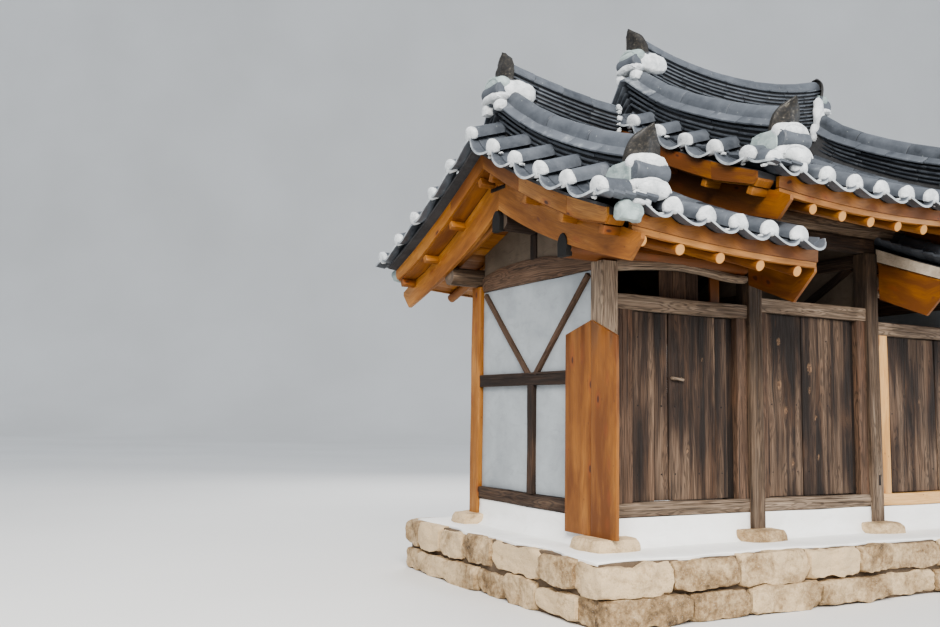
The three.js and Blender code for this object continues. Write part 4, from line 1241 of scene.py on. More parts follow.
# Painted purlin ends with a rounded top, let through the bargeboards.
ARCH = outline_of([(-0.062, -0.10), (0.062, -0.10), (0.066, 0.015), (0.052, 0.055), (0.026, 0.084),
                   (0.0, 0.092), (-0.026, 0.084), (-0.052, 0.055), (-0.066, 0.015)], 0.02)
ends = Shape()
for sign in BOTH:
    for y, z in ((-WALL_Y - 0.015, PURLIN_Z + 0.01), (0.03, RIDGE_PURLIN_Z + 0.005)):
        sweep(ends, [(sign * 2.83, y, z), (sign * 2.892, y, z)], UP, ARCH, 450 + sign, ring=0.05, wear=0.001,
              fine=0.0004, tone=0.3)
piece("painted_purlin_ends", ends, [BLACK], slot="old_timber")

# End board beside the front left post

BOARD_HEAD = ([-1.335, -0.995, -0.625], [2.21, 2.36, 2.26])
board = Shape()
for i in (0, 1):
    (y0, y1), (top0, top1) = (row[i:i + 2] for row in BOARD_HEAD)
    middle, length = (y0 + y1) / 2, (top0 + top1) / 2 - POST_FOOT
    # Its low tone, 0.28 and 0.38, is painted shade: the board stands in shadow.
    sweep(board, [(-2.549, middle, POST_FOOT), (-2.549, middle, POST_FOOT + length)], (-1, 0, 0),
          round_rect(y1 - y0 - 0.002, 0.031, 0.004, 0.03), 460 + i, ring=0.06, wear=0.001, fine=0.0004,
          tone=0.28 + 0.1 * i, knots=[(0.9, 0.05, 0.016), (1.42, -0.06, 0.012)], bevel=0)
obj = solid("wall_end_board", board, [PINE], "new_timber")
for vertex in obj.data.vertices:
    if vertex.co.z > 2.1:
        vertex.co.z = np.interp(vertex.co.y, *BOARD_HEAD)

# Rafters, boards and bargeboards

LOW_RAFTERS = (2.740, 2.370, 1.960, 1.530, 1.110)
HIGH_RAFTERS = (-1.210, -0.905, -0.543, -0.181, 0.181, 0.543, 0.905, 1.210)
EAVE_OUT, EAVE_IN, DECK_EDGE = 1.90, 1.862, 1.868
VERGE_THICK = 0.20
CUSP, SAG, TROUGH_THICK = 0.07, 0.085, 0.02


def rafter_pair(shape, roof, x, seed):
    for side in BOTH:
        path = [(x, side * y, roof.rafter(x, y)) for y in (0.35, WALL_Y, 1.35, 1.6, RAFTER_TIP)]
        path.insert(0, (x, -side * 0.012, roof.rafter(x, 0) + 0.012 * RAFTER_SLOPE))
        pole(shape, path, RAFTER_R, seed + (side > 0), sides=18, ring=0.12, wear=0.0022,
             tone=0.42 + 0.25 * rand(seed).random(), end_slot=1, bevel=0.003,
             knots=[(1.1 + 0.6 * rand(seed + 5).random(), 0.01, 0.016)])


def deck_planks(shape, roof, x0, x1, seed):
    """Roofing boards along X on the rafters' backs, seen from below between the rafters."""
    r = rand(seed)
    for side in BOTH:
        edges = np.linspace(0.004, DECK_EDGE, 15)
        for i, (y0, y1) in enumerate(zip(edges[:-1], edges[1:])):
            y = side * (y0 + y1) / 2
            split = x0 + (x1 - x0) * (0.35 + 0.3 * r.random())
            for a, b in ((x0, split - 0.002), (split + 0.002, x1)) if i % 2 else ((x0, x1),):
                xs = np.linspace(a, b, 8)
                z = roof.rafter(xs, y) + (DECK_UNDER + DECK_TOP) / 2 + 0.003 * (i % 2)
                sweep(shape, np.stack([xs, np.full(8, y), z], -1), (0, side * RAFTER_SLOPE, 1),
                      round_rect((y1 - y0) * 1.058, 0.024, 0.003, 0.05), seed + i, ring=0.2, wear=0.0008,
                      fine=0.0004, tone=r.uniform(0.25, 0.6), bevel=0)


def eave_boards(shape, roof, x0, x1, rows, seed):
    """Two boards on the rafter tips; the upper one's edge follows the trough tiles."""
    def low(x):
        return roof.rafter(x, EAVE_IN) + DECK_UNDER

    def head(x):
        i = np.clip(np.searchsorted(rows, x) - 1, 0, len(rows) - 2)
        t = 2 * (x - rows[i]) / (rows[i + 1] - rows[i]) - 1
        scallop = CUSP - SAG * (1 - np.minimum(1, t * t)) - TROUGH_THICK - 0.004
        return np.maximum(low(x) + 0.075, roof.bed(x, EAVE_OUT) + scallop)

    for side in BOTH:
        panel(shape, 1, *mirrored(side, 1.838, 1.884), np.linspace(x0, x1, 40), low,
              lambda x: low(x) + 0.047, 3, seed + side, wave=0.001, tone=0.62, tilt=side * 0.004,
              knots=[(0.8, 0.0, 0.014)])
        panel(shape, 1, *mirrored(side, EAVE_IN, EAVE_OUT - 0.004), np.linspace(x0 - 0.012, x1 + 0.01, 150),
              lambda x: low(x) + 0.049, head, 4, seed + 3 + side, wave=0.001, tone=0.45, tilt=side * 0.008,
              knots=[(1.3, 0.0, 0.012)])


def verge_foot(roof, x, y):
    y = np.abs(y)
    step = np.where(y > 1.849, 0.130, DECK_TOP)
    return np.maximum(roof.bed(x, y) - VERGE_THICK, roof.rafter(x, y) + step)


BOARD_NOSE, BOARD_TIP, BOARD_THICK, FOOT_BEND = 1.895, 2.035, 0.035, 1.84
BOARD_FOOT = np.polyfit([0, 0.935, 1.545, BOARD_NOSE], [3.44, 3.01, 2.81, 2.71], 3)
BLOCK_PLACES = (0.10, 0.67, 1.22, 1.76)
RIM_JOINTS = ((0.0, 0.62), (0.622, 1.34), (1.342, 1.862))


def board_foot(y):
    y = np.abs(y)
    return np.polyval(BOARD_FOOT, np.minimum(y, BOARD_NOSE)) + np.maximum(0, y - BOARD_NOSE)


def bargeboards(name, roof, sign, drop, seed, knots, shade=0.0):
    """A pair of curved boards under the verge, meeting at the ridge, and the boards over them. The argument
    shade lowers their tone: painted shade, for the shadow on the raised roof's boards.
    """
    shape = Shape()
    inner, rim, back = roof.board - BOARD_THICK, sign * roof.rim, roof.rim - 0.021

    def seat(y):
        return verge_foot(roof, sign * inner, y)

    def foot(y):
        return board_foot(y) + drop

    def head(y):
        past = 0.42 * np.maximum(0, np.abs(y) - FOOT_BEND)
        return np.maximum(seat(np.minimum(np.abs(y), FOOT_BEND)) - 0.002 - past, foot(y) + 0.02)

    for side in BOTH:
        ys = mirrored(side, *np.linspace(0.0015, FOOT_BEND, 34), *np.linspace(1.86, BOARD_TIP, 6))
        panel(shape, 0, *mirrored(sign, roof.board, inner), ys, foot, head, 8, seed + side, wave=0.003,
              tone=0.56 + 0.05 * side - shade,
              knots=[(2.2 - k[0], *k[1:]) if side < 0 else k for k in knots[side > 0]])
    for side in BOTH:
        for i, (y0, y1) in enumerate(RIM_JOINTS):
            ys = mirrored(side, *np.linspace(y0, y1, 14))
            panel(shape, 0, *mirrored(sign, roof.rim, back), ys, lambda y: seat(y) + 0.016,
                  lambda y: np.maximum(seat(y) + 0.016 + 0.05, roof.bed(rim, y) - 0.052), 3, seed + 5 + i,
                  wave=0.001, tone=0.5 + 0.07 * i - shade)
            panel(shape, 0, *mirrored(sign, roof.board + 0.001, back), ys, lambda y: seat(y) + 0.016 - 0.014,
                  lambda y: seat(y) + 0.016 + 0.006, 1, seed + 15 + i, wave=0.0, tone=0.35 + 0.1 * i)
        for i, y in enumerate(BLOCK_PLACES):
            z = seat(y) - 0.036
            beam(shape, (sign * (roof.board - 0.012), side * y, z), (sign * (roof.rim - 0.027), side * y, z),
                 (0, side * 0.45, 1), 0.062, 0.070, seed + 25 + i, radius=0.005, step=0.025, ring=0.08)
    along_y(shape, sign * (roof.board + 0.004), -0.115, 0.135, seat(0) - 0.150, 0.010, 0.034, seed + 31,
            radius=0.003, step=0.02, ring=0.05, wear=0.0006, tone=0.3, slot=1)
    solid(name, shape, [PINE, IRON], "new_timber")


END_FOOT = ([1.1255, 1.635, 1.870], [2.77, 2.565, 2.80])


def inner_end_board(shape, sign, seed):
    """The board that closes the low roof's eave beside the gate bay."""
    for side in BOTH:
        ys = mirrored(side, *np.linspace(1.1255, 1.635, 10), *np.linspace(1.66, 1.870, 5))
        panel(shape, 0, *mirrored(sign, 0.873, 0.905), ys, lambda y: np.interp(np.abs(y), *END_FOOT),
              lambda y: RAFTER_SEAT + RAFTER_SLOPE * (WALL_Y - np.abs(y)) + 0.06, 6, seed + side, tone=0.42,
              knots=[(0.35, 0.02, 0.022), (0.16, -0.05, 0.02), (0.62, -0.07, 0.03)])


LOW_ROWS = [2.84, 2.536, 2.202, 1.868, 1.534, 1.20]
LOW_EDGES = [2.99, *LOW_ROWS, 0.902]
HIGH_ROWS = [-1.465, -1.19, -0.85, -0.51, -0.17, 0.17, 0.51, 0.85, 1.19, 1.465]
FRONT_KNOTS = ([(0.35, 0.05, 0.020), (0.75, -0.04, 0.026), (1.25, 0.03, 0.018), (1.85, 0.0, 0.022)],
               [(0.5, 0.03, 0.020), (1.3, -0.05, 0.018), (1.8, 0.04, 0.016)])


def roof_timbers(side, roof, x0, x1, rafters, rows, seed, end=None):
    wood = Shape()
    for i, x in enumerate(rafters):
        rafter_pair(wood, roof, x, seed + 3 * i)
    deck_seed = seed + (20 if end else 30)
    deck_planks(wood, roof, x0, x1, deck_seed)
    eave_boards(wood, roof, x0, x1, np.sort(rows), deck_seed + 20)
    if end:
        inner_end_board(wood, end, seed + 50)
    solid(f"rafters_{side}", wood, [PINE, END_PINE], "new_timber")


for side, sign in SIDES:
    roof_timbers(side, LOW, *mirrored(sign, LOW.board - BOARD_THICK - 0.001, LOW.inner),
                 sign * np.array(LOW_RAFTERS), sign * np.array(LOW_EDGES), 500 if sign < 0 else 560, sign)
reach = HIGH.board - BOARD_THICK - 0.001
roof_timbers("middle", HIGH, -reach, reach, HIGH_RAFTERS, HIGH_ROWS, 620)
for side, sign in SIDES:
    bargeboards(f"bargeboards_{side}", LOW, sign, 0.0, 700 + sign, FRONT_KNOTS)
    # The gate's boards are made 0.3 darker: painted shade, the shadow on the raised roof's boards.
    bargeboards(f"gate_bargeboards_{side}", HIGH, sign, RAISE - 0.0377, 740 + sign, FRONT_KNOTS[::-1], 0.3)

# Roof tiles

LIP_Y, DISC_Y = 2.048, 2.0
DISC_IN = 0.048
LIP_HOLLOW = 0.055
SLOPE_TOP = 0.1
COVER_R = 0.085
COURSE, TILE_STEP = 0.115, 0.015
VERGE_FALL, VERGE_DROP = 0.44, 0.04


def half_round(radius, foot):
    a = np.linspace(0, math.pi, 13)
    arc = np.stack([np.cos(a), np.sin(a)], -1)
    return (np.concatenate([[[radius, -foot]], arc * radius, [[-radius, -foot]]]),
            np.concatenate([[[1, 0]], arc, [[-1, 0]]]))


def tile_joints(r, start, end, length, play):
    """Uneven joints between tiles laid end to end."""
    number = max(1, round(abs(end - start) / length))
    joints = start + (end - start) * np.arange(number + 1) / number
    joints[1:-1] += r.uniform(-play, play, number - 1)
    return joints


def tapered(t):
    return 0.975 + 0.03 * t


def cover_tiles(shape, place, start, end, seed, length=0.285, radius=COVER_R, foot=0.03):
    """Half-round tiles laid end to end; place gives the point of the axis at a distance along."""
    r = rand(seed)
    joints = tile_joints(r, start, end, length, 0.012)
    gap = 0.0022 * np.sign(end - start)
    for i, (a, b) in enumerate(zip(joints[:-1], joints[1:])):
        path = [np.array(place(v)) + [0, 0, r.uniform(-0.002, 0.002)]
                for v in np.linspace(a + gap, b - gap, 3)]
        sweep(shape, path, UP, half_round(radius, foot), seed + i, ring=0.15, wear=0.0016, fine=0.0005,
              tone=r.uniform(0.3, 0.62), bevel=0.003, scale=(tapered, tapered))


def trough_tiles(shape, edges, stations, place, seed, sag=SAG):
    """Concave tiles lapped down a trough between two cover rows.

    stations: the tiles' lower ends, from the top down; place(across, along) gives x, y and the bed.
    """
    t = np.linspace(-1, 1, 11)
    across = edges[0] + (edges[1] - edges[0]) * (t + 1) / 2
    shades = rand(seed).uniform(0.25, 0.65, len(stations))
    rows = np.repeat(stations, 2)[1:]
    lifts = np.array([0.0, TILE_STEP] * len(stations))[:-1]
    tones = np.repeat(shades, 2)[:-1]
    rows[-2], lifts[-1], tones[-1] = rows[-1] - 0.02, TILE_STEP, 1.05
    a, s = np.meshgrid(across, rows)
    s[-2:] -= LIP_HOLLOW * t ** 4
    x, y, bed = place(a, s)
    top = np.stack([x, y, bed + CUSP - sag * (1 - t ** 2)[None, :] + lifts[:, None]], axis=-1)
    top[..., 2] += 0.0015 * noise(top, 0.09, seed)
    quads = layer_quads(*x.shape)
    normal = np.cross(top[0, 1] - top[0, 0], top[1, 0] - top[0, 0])
    points = np.concatenate([top.reshape(-1, 3), (top - [0, 0, TROUGH_THICK]).reshape(-1, 3)])
    shape.add(points, quads if normal[2] > 0 else quads[:, ::-1], tone=np.tile(np.repeat(tones, len(t)), 2),
              grain=points + seed)


DISC = ((0.97, -0.030), (1.02, -0.010), (1.0, 0.002), (0.90, 0.012), (0.58, 0.020), (0.22, 0.023))
DISC_R, DISC_FOOT = 0.09, -0.42


def lime_disc(shape, center, out, seed):
    """The dab of lime that closes a cover tile's mouth."""
    out = unit(out)
    across = unit(np.cross(UP, out))
    upward = np.cross(out, across)
    a = np.arange(20) * 2 * math.pi / 20
    c, s = np.cos(a), np.sin(a)
    high = np.maximum(s, DISC_FOOT)
    points = []
    for share, depth in DISC:
        spread = DISC_R * share * (1 + 0.05 * noise(np.stack([c, s, a * 0 + share], -1), 0.5, seed))
        bumps = 0.004 * noise(np.stack([c * share, s * share, a * 0], -1), 0.35, seed + 3)
        points.append(center + across * (spread * c)[:, None] + upward * (spread * high)[:, None]
                      + out * (depth + bumps)[:, None])
    points = np.concatenate([*points, [center + out * 0.024, center - out * 0.034]])
    rows, cols = len(DISC), len(a)
    tris = np.concatenate([fan(rows * cols, (rows - 1) * cols + np.arange(cols)),
                           fan(rows * cols + 1, np.arange(cols), flip=True)])
    shape.add(points, grid_quads(rows, cols, wrap=True), tris, grain=points + seed)


def lime_crumbs(shape, center, out, seed):
    """Lime squeezed out beside a tile's mouth into the trough."""
    r = rand(seed)
    across = np.array([1.0, 0, 0]) if abs(out[1]) > 0.5 else np.array([0, 1.0, 0])
    for i in range(2):
        if r.random() < 0.55:
            continue
        shift = across * (0.085 if i else -0.085) + np.array(out) * r.uniform(-0.05, -0.02)
        size = (r.uniform(0.03, 0.05), r.uniform(0.03, 0.05), r.uniform(0.016, 0.026))
        blob(shape, center + shift + [0, 0, -0.045], size, seed + i, parts=6, boxy=0.35, lumps=0.4, fine=0.1)


def cover_row(covers, lime, place, start, end, out, fall, seed, lime_seeds, length=0.285):
    """One row of cover tiles with the lime in and beside its mouth."""
    cover_tiles(covers, place, start, end - 0.02, seed, length)
    center = np.array(place(end - 0.006))
    lime_disc(lime, center, (*out[:2], fall), lime_seeds[0])
    lime_crumbs(lime, center, out, lime_seeds[1])


def slope_stations(start, end, seed):
    return tile_joints(rand(seed), start, end, COURSE, 0.006)


def slope(covers, troughs, lime, roof, rows, edges, seed, corner):
    """Cover and trough tiles of the front and rear slopes, and the lime at the eaves.

    corner: where the outermost row lies, which starts below the verge tiles, and its start.
    """
    for side in BOTH:
        for i, (a, b) in enumerate(zip(edges[:-1], edges[1:])):
            trough_tiles(troughs, (a, b), slope_stations(SLOPE_TOP, LIP_Y, seed + i),
                         lambda u, v: (u, side * v, roof.bed(u, v)), seed + 10 * i + side)
        for i, x in enumerate(rows):
            begin = corner[1] if abs(abs(x) - corner[0]) < 0.01 else SLOPE_TOP
            cover_row(covers, lime, lambda v: (x, side * v, roof.bed(x, v) + CUSP), begin, DISC_Y,
                      (0, side, 0), -0.08, seed + 7 * i + side, (seed + 11 * i + side, seed + 13 * i + side))


def verge_bed(roof, x, y):
    """The verge tiles' bed, which falls outward from under the descending ridge."""
    fall = VERGE_FALL * (roof.verge - np.abs(x)) - VERGE_DROP
    return roof.bed(x, y) + fall * (1 - 0.65 * smooth(np.abs(y), 1.55, 2.0))


def verge_cover(covers, lime, roof, sign, y, start, seed):
    cover_row(covers, lime, lambda v: (sign * v, y, verge_bed(roof, v, y) + CUSP), start,
              roof.verge - DISC_IN, (sign, 0, 0), -0.3, seed, (seed + 11, seed + 13), 0.4)


def verge(covers, troughs, lime, roof, sign, rows, hip, corner, seed):
    """Short tiles laid across the verge, outside the descending ridge."""
    inside = hip - 0.02
    for side in BOTH:
        bounds = [0.0, *rows, LIP_Y - 0.006]
        for i, (a, b) in enumerate(zip(bounds[:-1], bounds[1:])):
            trough_tiles(troughs, (side * a, side * b), slope_stations(inside, roof.verge - 0.002, seed + i),
                         lambda u, v: (sign * v, u, verge_bed(roof, v, u)), seed + 10 * i + side,
                         sag=SAG if i < len(rows) and b - a > 0.3 else 0.5 * SAG)
        for i, y in enumerate(rows):
            start = corner[0] + COVER_R + 0.01 if y > corner[1] else inside
            verge_cover(covers, lime, roof, sign, side * y, start, seed + 7 * i + side)


VERGE_ROWS_LOW, VERGE_ROWS_HIGH = (0.39, 0.76, 1.15, 1.53, 1.93), (0.26, 0.63, 1.0, 1.37, 1.76)
HIP_LOW, HIP_HIGH = 2.735, 1.22
CORNER_LOW, CORNER_HIGH = (2.84, 1.62), (1.465, 1.86)
CORE_HALVES = ((-1.855, -0.002), (0.002, 1.855))
LIME_STRIP_X = 0.91


def clay(core, roof, xs, flat, over, seed):
    """The clay bed under the tiles of one roof, up to the rim of its outer boards."""
    def foot(x, y):
        return verge_foot(roof, np.minimum(np.abs(x), flat), y) + 0.023

    for y0, y1 in CORE_HALVES:
        sheet(core, xs, np.linspace(y0, y1, 24), foot,
              lambda x, y: np.maximum(roof.bed(x, y) - 0.04, foot(x, y) + 0.007), seed)
        if over is not None:
            sheet(core, over, np.linspace(y0, y1, 24), lambda x, y: roof.bed(x, y) - 0.058,
                  lambda x, y: roof.bed(x, y) - 0.034, seed + 1)


def tile_pieces(side, covers, troughs, lime, core, lime_looks):
    piece(f"cover_tiles_{side}", covers, [TILE], nodes=(f"roof_tiles_{side}",), slot="tile")
    piece(f"trough_tiles_{side}", troughs, [TILE], slot="tile", angle=30)
    piece(f"tile_end_lime_{side}", lime, lime_looks, slot="lime")
    piece(f"roof_clay_{side}", core, [CLAY], slot="tile")


for side, sign in SIDES:
    seed = 800 if sign < 0 else 1000
    covers, troughs, lime, core = (Shape() for _ in range(4))
    slope(covers, troughs, lime, LOW, [sign * x for x in LOW_ROWS], [sign * x for x in LOW_EDGES[1:]], seed,
          CORNER_LOW)
    verge(covers, troughs, lime, LOW, sign, VERGE_ROWS_LOW, HIP_LOW, CORNER_LOW, seed + 100)
    verge_cover(covers, lime, LOW, sign, 0.0, 2.80, seed + 190)
    for y in (-1.955, 1.955):
        blob(lime, (sign * 2.93, y, LOW.bed(2.93, y) - 0.045), (0.20, 0.11, 0.13), seed + int(10 * y),
             parts=11, boxy=0.92, lumps=0.3, fine=0.06, slot=1)
    clay(core, LOW, mirrored(sign, *np.linspace(0.91, 3.03, 30)), 2.85,
         mirrored(sign, *np.linspace(3.02, 3.15, 4)), seed)
    # A lime strip over each inner end board, in the beige lime whose darkness is painted shade.
    for y in BOTH:
        sheet(lime, mirrored(sign, 0.886, 0.912), mirrored(y, *np.linspace(1.09, 1.848, 16)),
              lambda a, b: verge_foot(LOW, LIME_STRIP_X + 0 * a, b) + 0.006,
              lambda a, b: LOW.bed(LIME_STRIP_X + 0 * a, b) - 0.042, seed + 3, slot=2, wave=0.008)
    tile_pieces(side, covers, troughs, lime, core, [LIME_END, LIME_GREEN, EAVE_LIME])

covers, troughs, lime, core = (Shape() for _ in range(4))
slope(covers, troughs, lime, HIGH, HIGH_ROWS, HIGH_ROWS, 1200, CORNER_HIGH)
for sign in BOTH:
    verge(covers, troughs, lime, HIGH, sign, VERGE_ROWS_HIGH, HIP_HIGH, CORNER_HIGH, 1300 + 100 * sign)
clay(core, HIGH, np.linspace(-1.52, 1.52, 40), 1.32, None, 1290)
tile_pieces("middle", covers, troughs, lime, core, [LIME_END])

# Ridges

END_THICK = 0.034
RIM_THICK, RIM_DEPTH = 0.03, 0.08


def laid_tiles(shape, place, start, end, level, outline, seed, dark, length=0.29):
    """One layer of flat tiles along a ridge, each a little out of line."""
    r = rand(seed)
    joints = tile_joints(r, start, end, length, 0.05)
    gap = 0.0025 * np.sign(end - start)
    for i, (a, b) in enumerate(zip(joints[:-1], joints[1:])):
        shift = r.uniform(-1, 1, 3) * (0.0045, 0.0045, 0.0018)
        path = [np.array(place(v), float) + shift + [0, 0, level] for v in np.linspace(a + gap, b - gap, 5)]
        sweep(shape, path, UP, outline, seed + i, ring=0.4, wear=0.0012, fine=0.0005,
              tone=r.uniform(0.25, 0.6) - dark, bevel=0.002)


def end_tile(shape, foot, out, width, height, seed, lean):
    """The pointed, lichened tile that stands at the end of a ridge, hollow along its foot."""
    out = np.array(out, float)
    across = np.cross(UP, out)
    v, u = np.meshgrid(np.linspace(0, 1, 15), np.linspace(-1, 1, 13), indexing="ij")
    half = 0.5 * width * (1.02 - v ** 2.7) ** 0.62 * (1 - 0.14 * (1 - v) ** 2)
    lift = height * v * (1 - 0.10 * u ** 2) - 0.16 * width * u ** 2 * (1 - v) ** 2
    faces, grain = [], []
    for level in (0.5, -0.5):
        depth = lean * v ** 1.8 - 0.22 * width * u ** 2 * (1 - 0.4 * v) + level * END_THICK * (1 - 0.35 * v)
        place = (foot + across * (half * u)[..., None] + out * depth[..., None]
                 + np.array(UP) * lift[..., None])
        bump = 0.010 * rough(place, 0.05, seed, 3) * (0.4 + 0.6 * smooth(v, 0.0, 0.3))
        place = place + out * (np.sign(level) * bump)[..., None]
        faces.append(place)
        grain.append(place.reshape(-1, 3) + level)
    first = faces[0]
    normal = np.cross(first[0, 1] - first[0, 0], first[1, 0] - first[0, 0])
    quads = layer_quads(*v.shape)
    shape.add(np.concatenate(faces).reshape(-1, 3), quads if normal @ out > 0 else quads[:, ::-1], tone=0.45,
              grain=np.concatenate(grain), mark=np.tile(smooth(v, -0.1, 0.35).ravel(), 2))


def lime_rim(shape, center, out, width, rise, seed):
    """A rim of lime over the back of a round tile, thin at its feet."""
    angle = np.linspace(0.03, 0.97, 17)[:, None] * math.pi
    path = center + np.cross(UP, out) * (0.5 * width * np.cos(angle)) + np.array([0, 0, rise]) * np.sin(angle)
    sweep(shape, path, out, round_rect(RIM_THICK, RIM_DEPTH, 0.4 * RIM_THICK, 0.012), seed, ring=0.02,
          wear=0.007, fine=0.003, bevel=0.003, scale=(lambda t: 0.4 + 0.6 * np.sin(math.pi * t),
                                                      lambda t: 0.75 + 0.25 * np.sin(math.pi * t)))


def laid_across(tiles, upper, lower, base, out, width, seed, drop=0.195, tall=0.15):
    """A round tile across a ridge's end, bedded between two mounds of lime; base is the end tile's foot."""
    out, high = np.array(out, float), np.array(UP)
    across = np.cross(UP, out)
    reach, barrel = 0.47 * width, base + out * 0.03 - high * 0.068
    pole(tiles, [barrel - across * reach, barrel + across * reach], 0.078, seed, sides=20, tone=0.4,
         bevel=0.012)
    mounds = ((upper, 0.0, -0.005, 0.95, 0.15), (lower, 0.025, -drop, 1.03, tall))
    for number, (shape, forward, level, share, rise) in enumerate(mounds):
        size = np.abs(across) * share * width + np.abs(out) * 0.17 + high * rise
        blob(shape, base + out * forward + high * level, size, seed + 1 + number, parts=13, boxy=0.22,
             lumps=0.10, fine=0.03)
        lime_rim(shape, base + out * (forward + 0.045) + high * (level - 0.03), out, share * width - 0.02,
                 rise * 0.6, seed + 4 + number)


def flat_tile(half, high):
    return round_rect(2 * half, high, high * 0.42, 0.3)


def drooping(half, high):
    """Outline of a flat tile whose edges hang down."""
    points = [[half, -0.5 * high], [half + 0.004, -0.32 * high], [0.55 * half, 0.5 * high]]
    points += [[-x, y] for x, y in points[::-1]] + [[-0.8 * half, -0.45 * high], [0.8 * half, -0.45 * high]]
    return np.array(points), unit(points)


LAYERS = ((0.196, 0.100, 0.026, 0.45), (0.240, 0.104, 0.026, 0.38), (0.286, 0.110, 0.028, 0.32),
          (0.338, 0.120, 0.030, 0.25), (0.404, 0.146, 0.070, -0.15))
FLARE_OUT, FLARE_UP, FLARE_FROM = 0.095, 0.095, 0.65
HIP_END = 1.92
GREEN_DABS = ((0.120, 0.13, -0.105, (0.10, 0.30, 0.24), 11), (-0.125, 0.10, -0.10, (0.08, 0.24, 0.22), 12))


def descending(tiles, caps, lime, green, bedding, roof, hip, sign, side, seed):
    """The ridge that runs down a slope near the verge, and what is stacked at its foot."""
    x = sign * hip

    def place(v, share=1.0):
        flare = max(0.0, 1 - v / FLARE_FROM) ** 2 * share
        return np.array([x + sign * FLARE_OUT * flare, side * v,
                         float(roof.bed(x, v)) + 0.03 * max(0.0, v - 1.2) ** 2 + FLARE_UP * flare])

    for level, half, thick, dark in LAYERS:
        outline = drooping(half, thick) if dark < 0 else flat_tile(half, thick)
        stop = HIP_END - 0.05 - 0.3 * (0.405 - level)
        laid_tiles(tiles, lambda v: place(v, smooth(level, 0.0, 0.4)), 0.0, stop, level, outline,
                   seed + int(level * 100), dark, 0.36)
    cover_tiles(caps, lambda v: place(v) + [0, 0, 0.478], 0.10, HIP_END - 0.035, seed + 5, 0.6, 0.081, 0.045)
    # Bedding in the gap above the verge tiles, near-black as painted shade.
    sheet(bedding, [x - 0.082, x + 0.082], np.sort(side * np.linspace(0.0, HIP_END - 0.05, 20)),
          lambda a, b: roof.bed(a, b) - 0.03, lambda a, b: roof.bed(a, b) + 0.40, seed)
    base = place(HIP_END) + [0, 0, 0.335]
    end_tile(tiles, base, (0, side, 0), 0.345, 0.30, seed + 7, 0.08)
    laid_across(tiles, lime, lime, base, (0, side, 0), 0.335, seed + 30)
    for over, back, level, size, number in GREEN_DABS:
        blob(green, base + [sign * over, -side * back, level], size, seed + number, parts=13, lumps=0.14,
             fine=0.04)
    sweep(tiles, [base + [sign * 0.06, -side * 0.10, -0.232], base + [sign * 0.06, side * 0.06, -0.237]], UP,
          half_round(0.098, 0.0), seed + 13, ring=0.1, tone=0.35)


TOP_LAYER, LAYER_STEP = -0.118, 0.041


def stacked(tiles, caps, bedding, roof, top, x0, x1, seed):
    """A main ridge: flat tiles in many layers under half-round caps."""
    cover_tiles(caps, lambda v: (v, 0.0, top(v) - 0.085), x0, x1, seed, 0.31, 0.086, 0.02)
    r = rand(seed + 1)
    level, number, middle = TOP_LAYER, 0, (x0 + x1) / 2
    while top(middle) + level > roof.bed(middle, 0.0) + 0.1:
        half = 0.106 + r.uniform(-0.004, 0.004) if number else 0.116
        laid_tiles(tiles, lambda v: (v, 0.0, top(v)), x0, x1, level, flat_tile(half, 0.022),
                   seed + 20 * number, 0.1)
        level -= LAYER_STEP
        number += 1
    # Bedding between the layers, near-black as painted shade in their gaps.
    sheet(bedding, np.linspace(min(x0, x1) + 0.01, max(x0, x1) - 0.01, 12), [-0.084, 0.084],
          lambda a, b: roof.bed(a, 0.0) - 0.12, lambda a, b: top(a) - 0.10, seed)


# Lime beside a main ridge's end: place (outward, aside, up), size, seed, parts and how boxy and lumpy.
SHORT_DABS = (((-0.155, 0.105, -0.075), (0.34, 0.12, 0.19), 4, 15, 0.2, 0.16),
              ((0.04, 0.11, -0.235), (0.11, 0.10, 0.10), 7, 11, 0.3, 0.16))
LONG_DABS = (((-0.10, 0.13, -0.20), (0.13, 0.08, 0.36), 10, 13, 0.25, 0.2),
             ((-0.18, 0.14, -0.43), (0.11, 0.07, 0.20), 12, 11, 0.25, 0.2))


def ridge_end(tiles, lime, green, sign, place, width, height, lean, seed, dabs=SHORT_DABS):
    """End tile, round tile and lime at the end of a main ridge; place is the end tile's foot."""
    base = np.array([sign * place[0], 0.0, place[1]])
    end_tile(tiles, base, (sign, 0, 0), width, height, seed, lean)
    laid_across(tiles, green, lime, base - [0, 0, 0.02], (sign, 0, 0), 0.30, seed + 20, 0.125, 0.08)
    for side in BOTH:
        for (out, aside, up), size, number, parts, boxy, lumps in dabs:
            blob(lime, base + [sign * out, side * aside, up], size, seed + number + side, parts=parts,
                 boxy=boxy, lumps=lumps, fine=0.03)


def low_top(x):
    return 4.655 + 0.18 * np.maximum(0.0, (np.abs(x) - 1.55) / 1.2) ** 1.5


def high_top(x):
    return 5.25 + 0.20 * (np.abs(x) / 1.35) ** 2.2


def ridge_pieces(side, tiles, caps, lime, green, bedding):
    piece(f"ridge_tiles_{side}", tiles, [TILE], nodes=(f"ridge_{side}",), slot="tile")
    piece(f"ridge_caps_{side}", caps, [TILE], slot="tile")
    piece(f"ridge_lime_{side}", lime, [LIME_END], slot="lime")
    piece(f"ridge_plaster_{side}", green, [LIME_GREEN], slot="lime")
    piece(f"ridge_bedding_{side}", bedding, [BEDDING], slot="tile")


LOW_RIDGE, HIGH_RIDGE = (2.86, 1.565), 1.31
DROPS = ((4.60, 0.05), (4.55, 0.035), (4.49, 0.045), (4.43, 0.03), (4.37, 0.045), (4.31, 0.035))

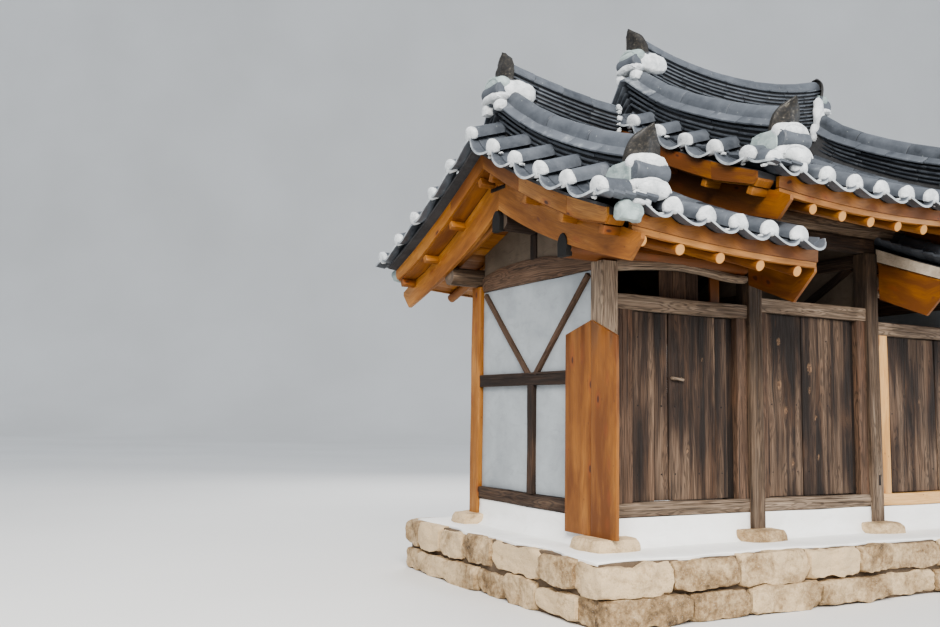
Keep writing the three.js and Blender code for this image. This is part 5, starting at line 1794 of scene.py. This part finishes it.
for side, sign in SIDES:
    seed = 1500 if sign < 0 else 1700
    tiles, caps, lime, green, bedding = parts = [Shape() for _ in range(5)]
    stacked(tiles, caps, bedding, LOW, low_top, *(sign * x for x in LOW_RIDGE), seed)
    ridge_end(tiles, lime, green, sign, (2.90, 4.62), 0.31, 0.32, -0.055, seed + 400)
    for y in BOTH:
        descending(*parts, LOW, HIP_LOW, sign, y, seed + 450 + 20 * y)
        for i, (z, size) in enumerate(DROPS):
            blob(lime, (sign * 1.578, y * 0.10, z), (size, 0.06, size), seed + 500 + i, boxy=0.4, lumps=0.5)
    ridge_pieces(side, *parts)

tiles, caps, lime, green, bedding = parts = [Shape() for _ in range(5)]
stacked(tiles, caps, bedding, HIGH, high_top, -HIGH_RIDGE, HIGH_RIDGE, 1900)
for sign in BOTH:
    ridge_end(tiles, lime, green, sign, (1.325, 5.205), 0.335, 0.285, 0.05, 2300 + sign,
              LONG_DABS if sign > 0 else SHORT_DABS)
    for y in BOTH:
        descending(*parts, HIGH, HIP_HIGH, sign, y, 2350 + 20 * y + 100 * sign)
ridge_pieces("middle", *parts)

# Floor and light

FLOOR_REACH, FLOOR_NEAR, FLOOR_FAR, FLOOR_BEND, WALL_TOP = 70.0, -60.0, 45.0, 14.0, 60.0


def area_light(name, place, target, energy, size, color):
    data = bpy.data.lights.new(name, "AREA")
    data.shape = "RECTANGLE"
    data.size, data.size_y = size
    data.energy, data.color = energy, color
    obj = link(bpy.data.objects.new(name, data))
    obj.location = place
    obj.rotation_euler = (Vector(target) - Vector(place)).to_track_quat("-Z", "Y").to_euler()


def add_floor():
    """A pale floor that turns up into a wall far behind."""
    profile = [(FLOOR_NEAR, 0.0)]
    for a in (math.pi / 2 * step / 12 for step in range(13)):
        profile.append((FLOOR_FAR + FLOOR_BEND * math.sin(a), FLOOR_BEND * (1 - math.cos(a))))
    profile.append((FLOOR_FAR + FLOOR_BEND, WALL_TOP))
    c, s = math.cos(-CAMERA_YAW), math.sin(-CAMERA_YAW)
    points = [(across * c - depth * s, across * s + depth * c, height)
              for depth, height in profile for across in (-FLOOR_REACH, FLOOR_REACH)]
    mesh = bpy.data.meshes.new("floor")
    mesh.from_pydata(points, [], [(2 * i, 2 * i + 1, 2 * i + 3, 2 * i + 2) for i in range(len(profile) - 1)])
    mesh.shade_smooth()
    p = Paint("floor", 0.9, fixed=True)
    color = p.ramp(p.noise(0.15, 3, 0.5), [(0.3, (0.70, 0.69, 0.67)), (0.7, (0.76, 0.75, 0.73))])
    mesh.materials.append(p.finish(color))
    obj = link(bpy.data.objects.new("floor", mesh))


def add_world():
    world = bpy.data.worlds.new("sky")
    world.use_nodes = True
    sky = world.node_tree.nodes["Background"]
    sky.inputs["Color"].default_value = (0.86, 0.92, 1.0, 1)
    sky.inputs["Strength"].default_value = 0.85
    bpy.context.scene.world = world


add_floor()
add_world()
area_light("key", (-9.0, -11.0, 10.5), (0.0, 0.0, 2.2), 3500, (9.0, 7.0), (1.0, 0.965, 0.91))
area_light("fill", (10.0, -10.0, 6.0), (0.0, 0.0, 2.0), 700, (9.0, 7.0), (0.92, 0.96, 1.0))
area_light("back", (5.0, 11.0, 9.0), (0.0, 0.0, 3.0), 900, (8.0, 6.0), (1.0, 0.98, 0.95))
scene = bpy.context.scene
scene.view_settings.view_transform = "AgX"
scene.view_settings.look = "AgX - Medium High Contrast"
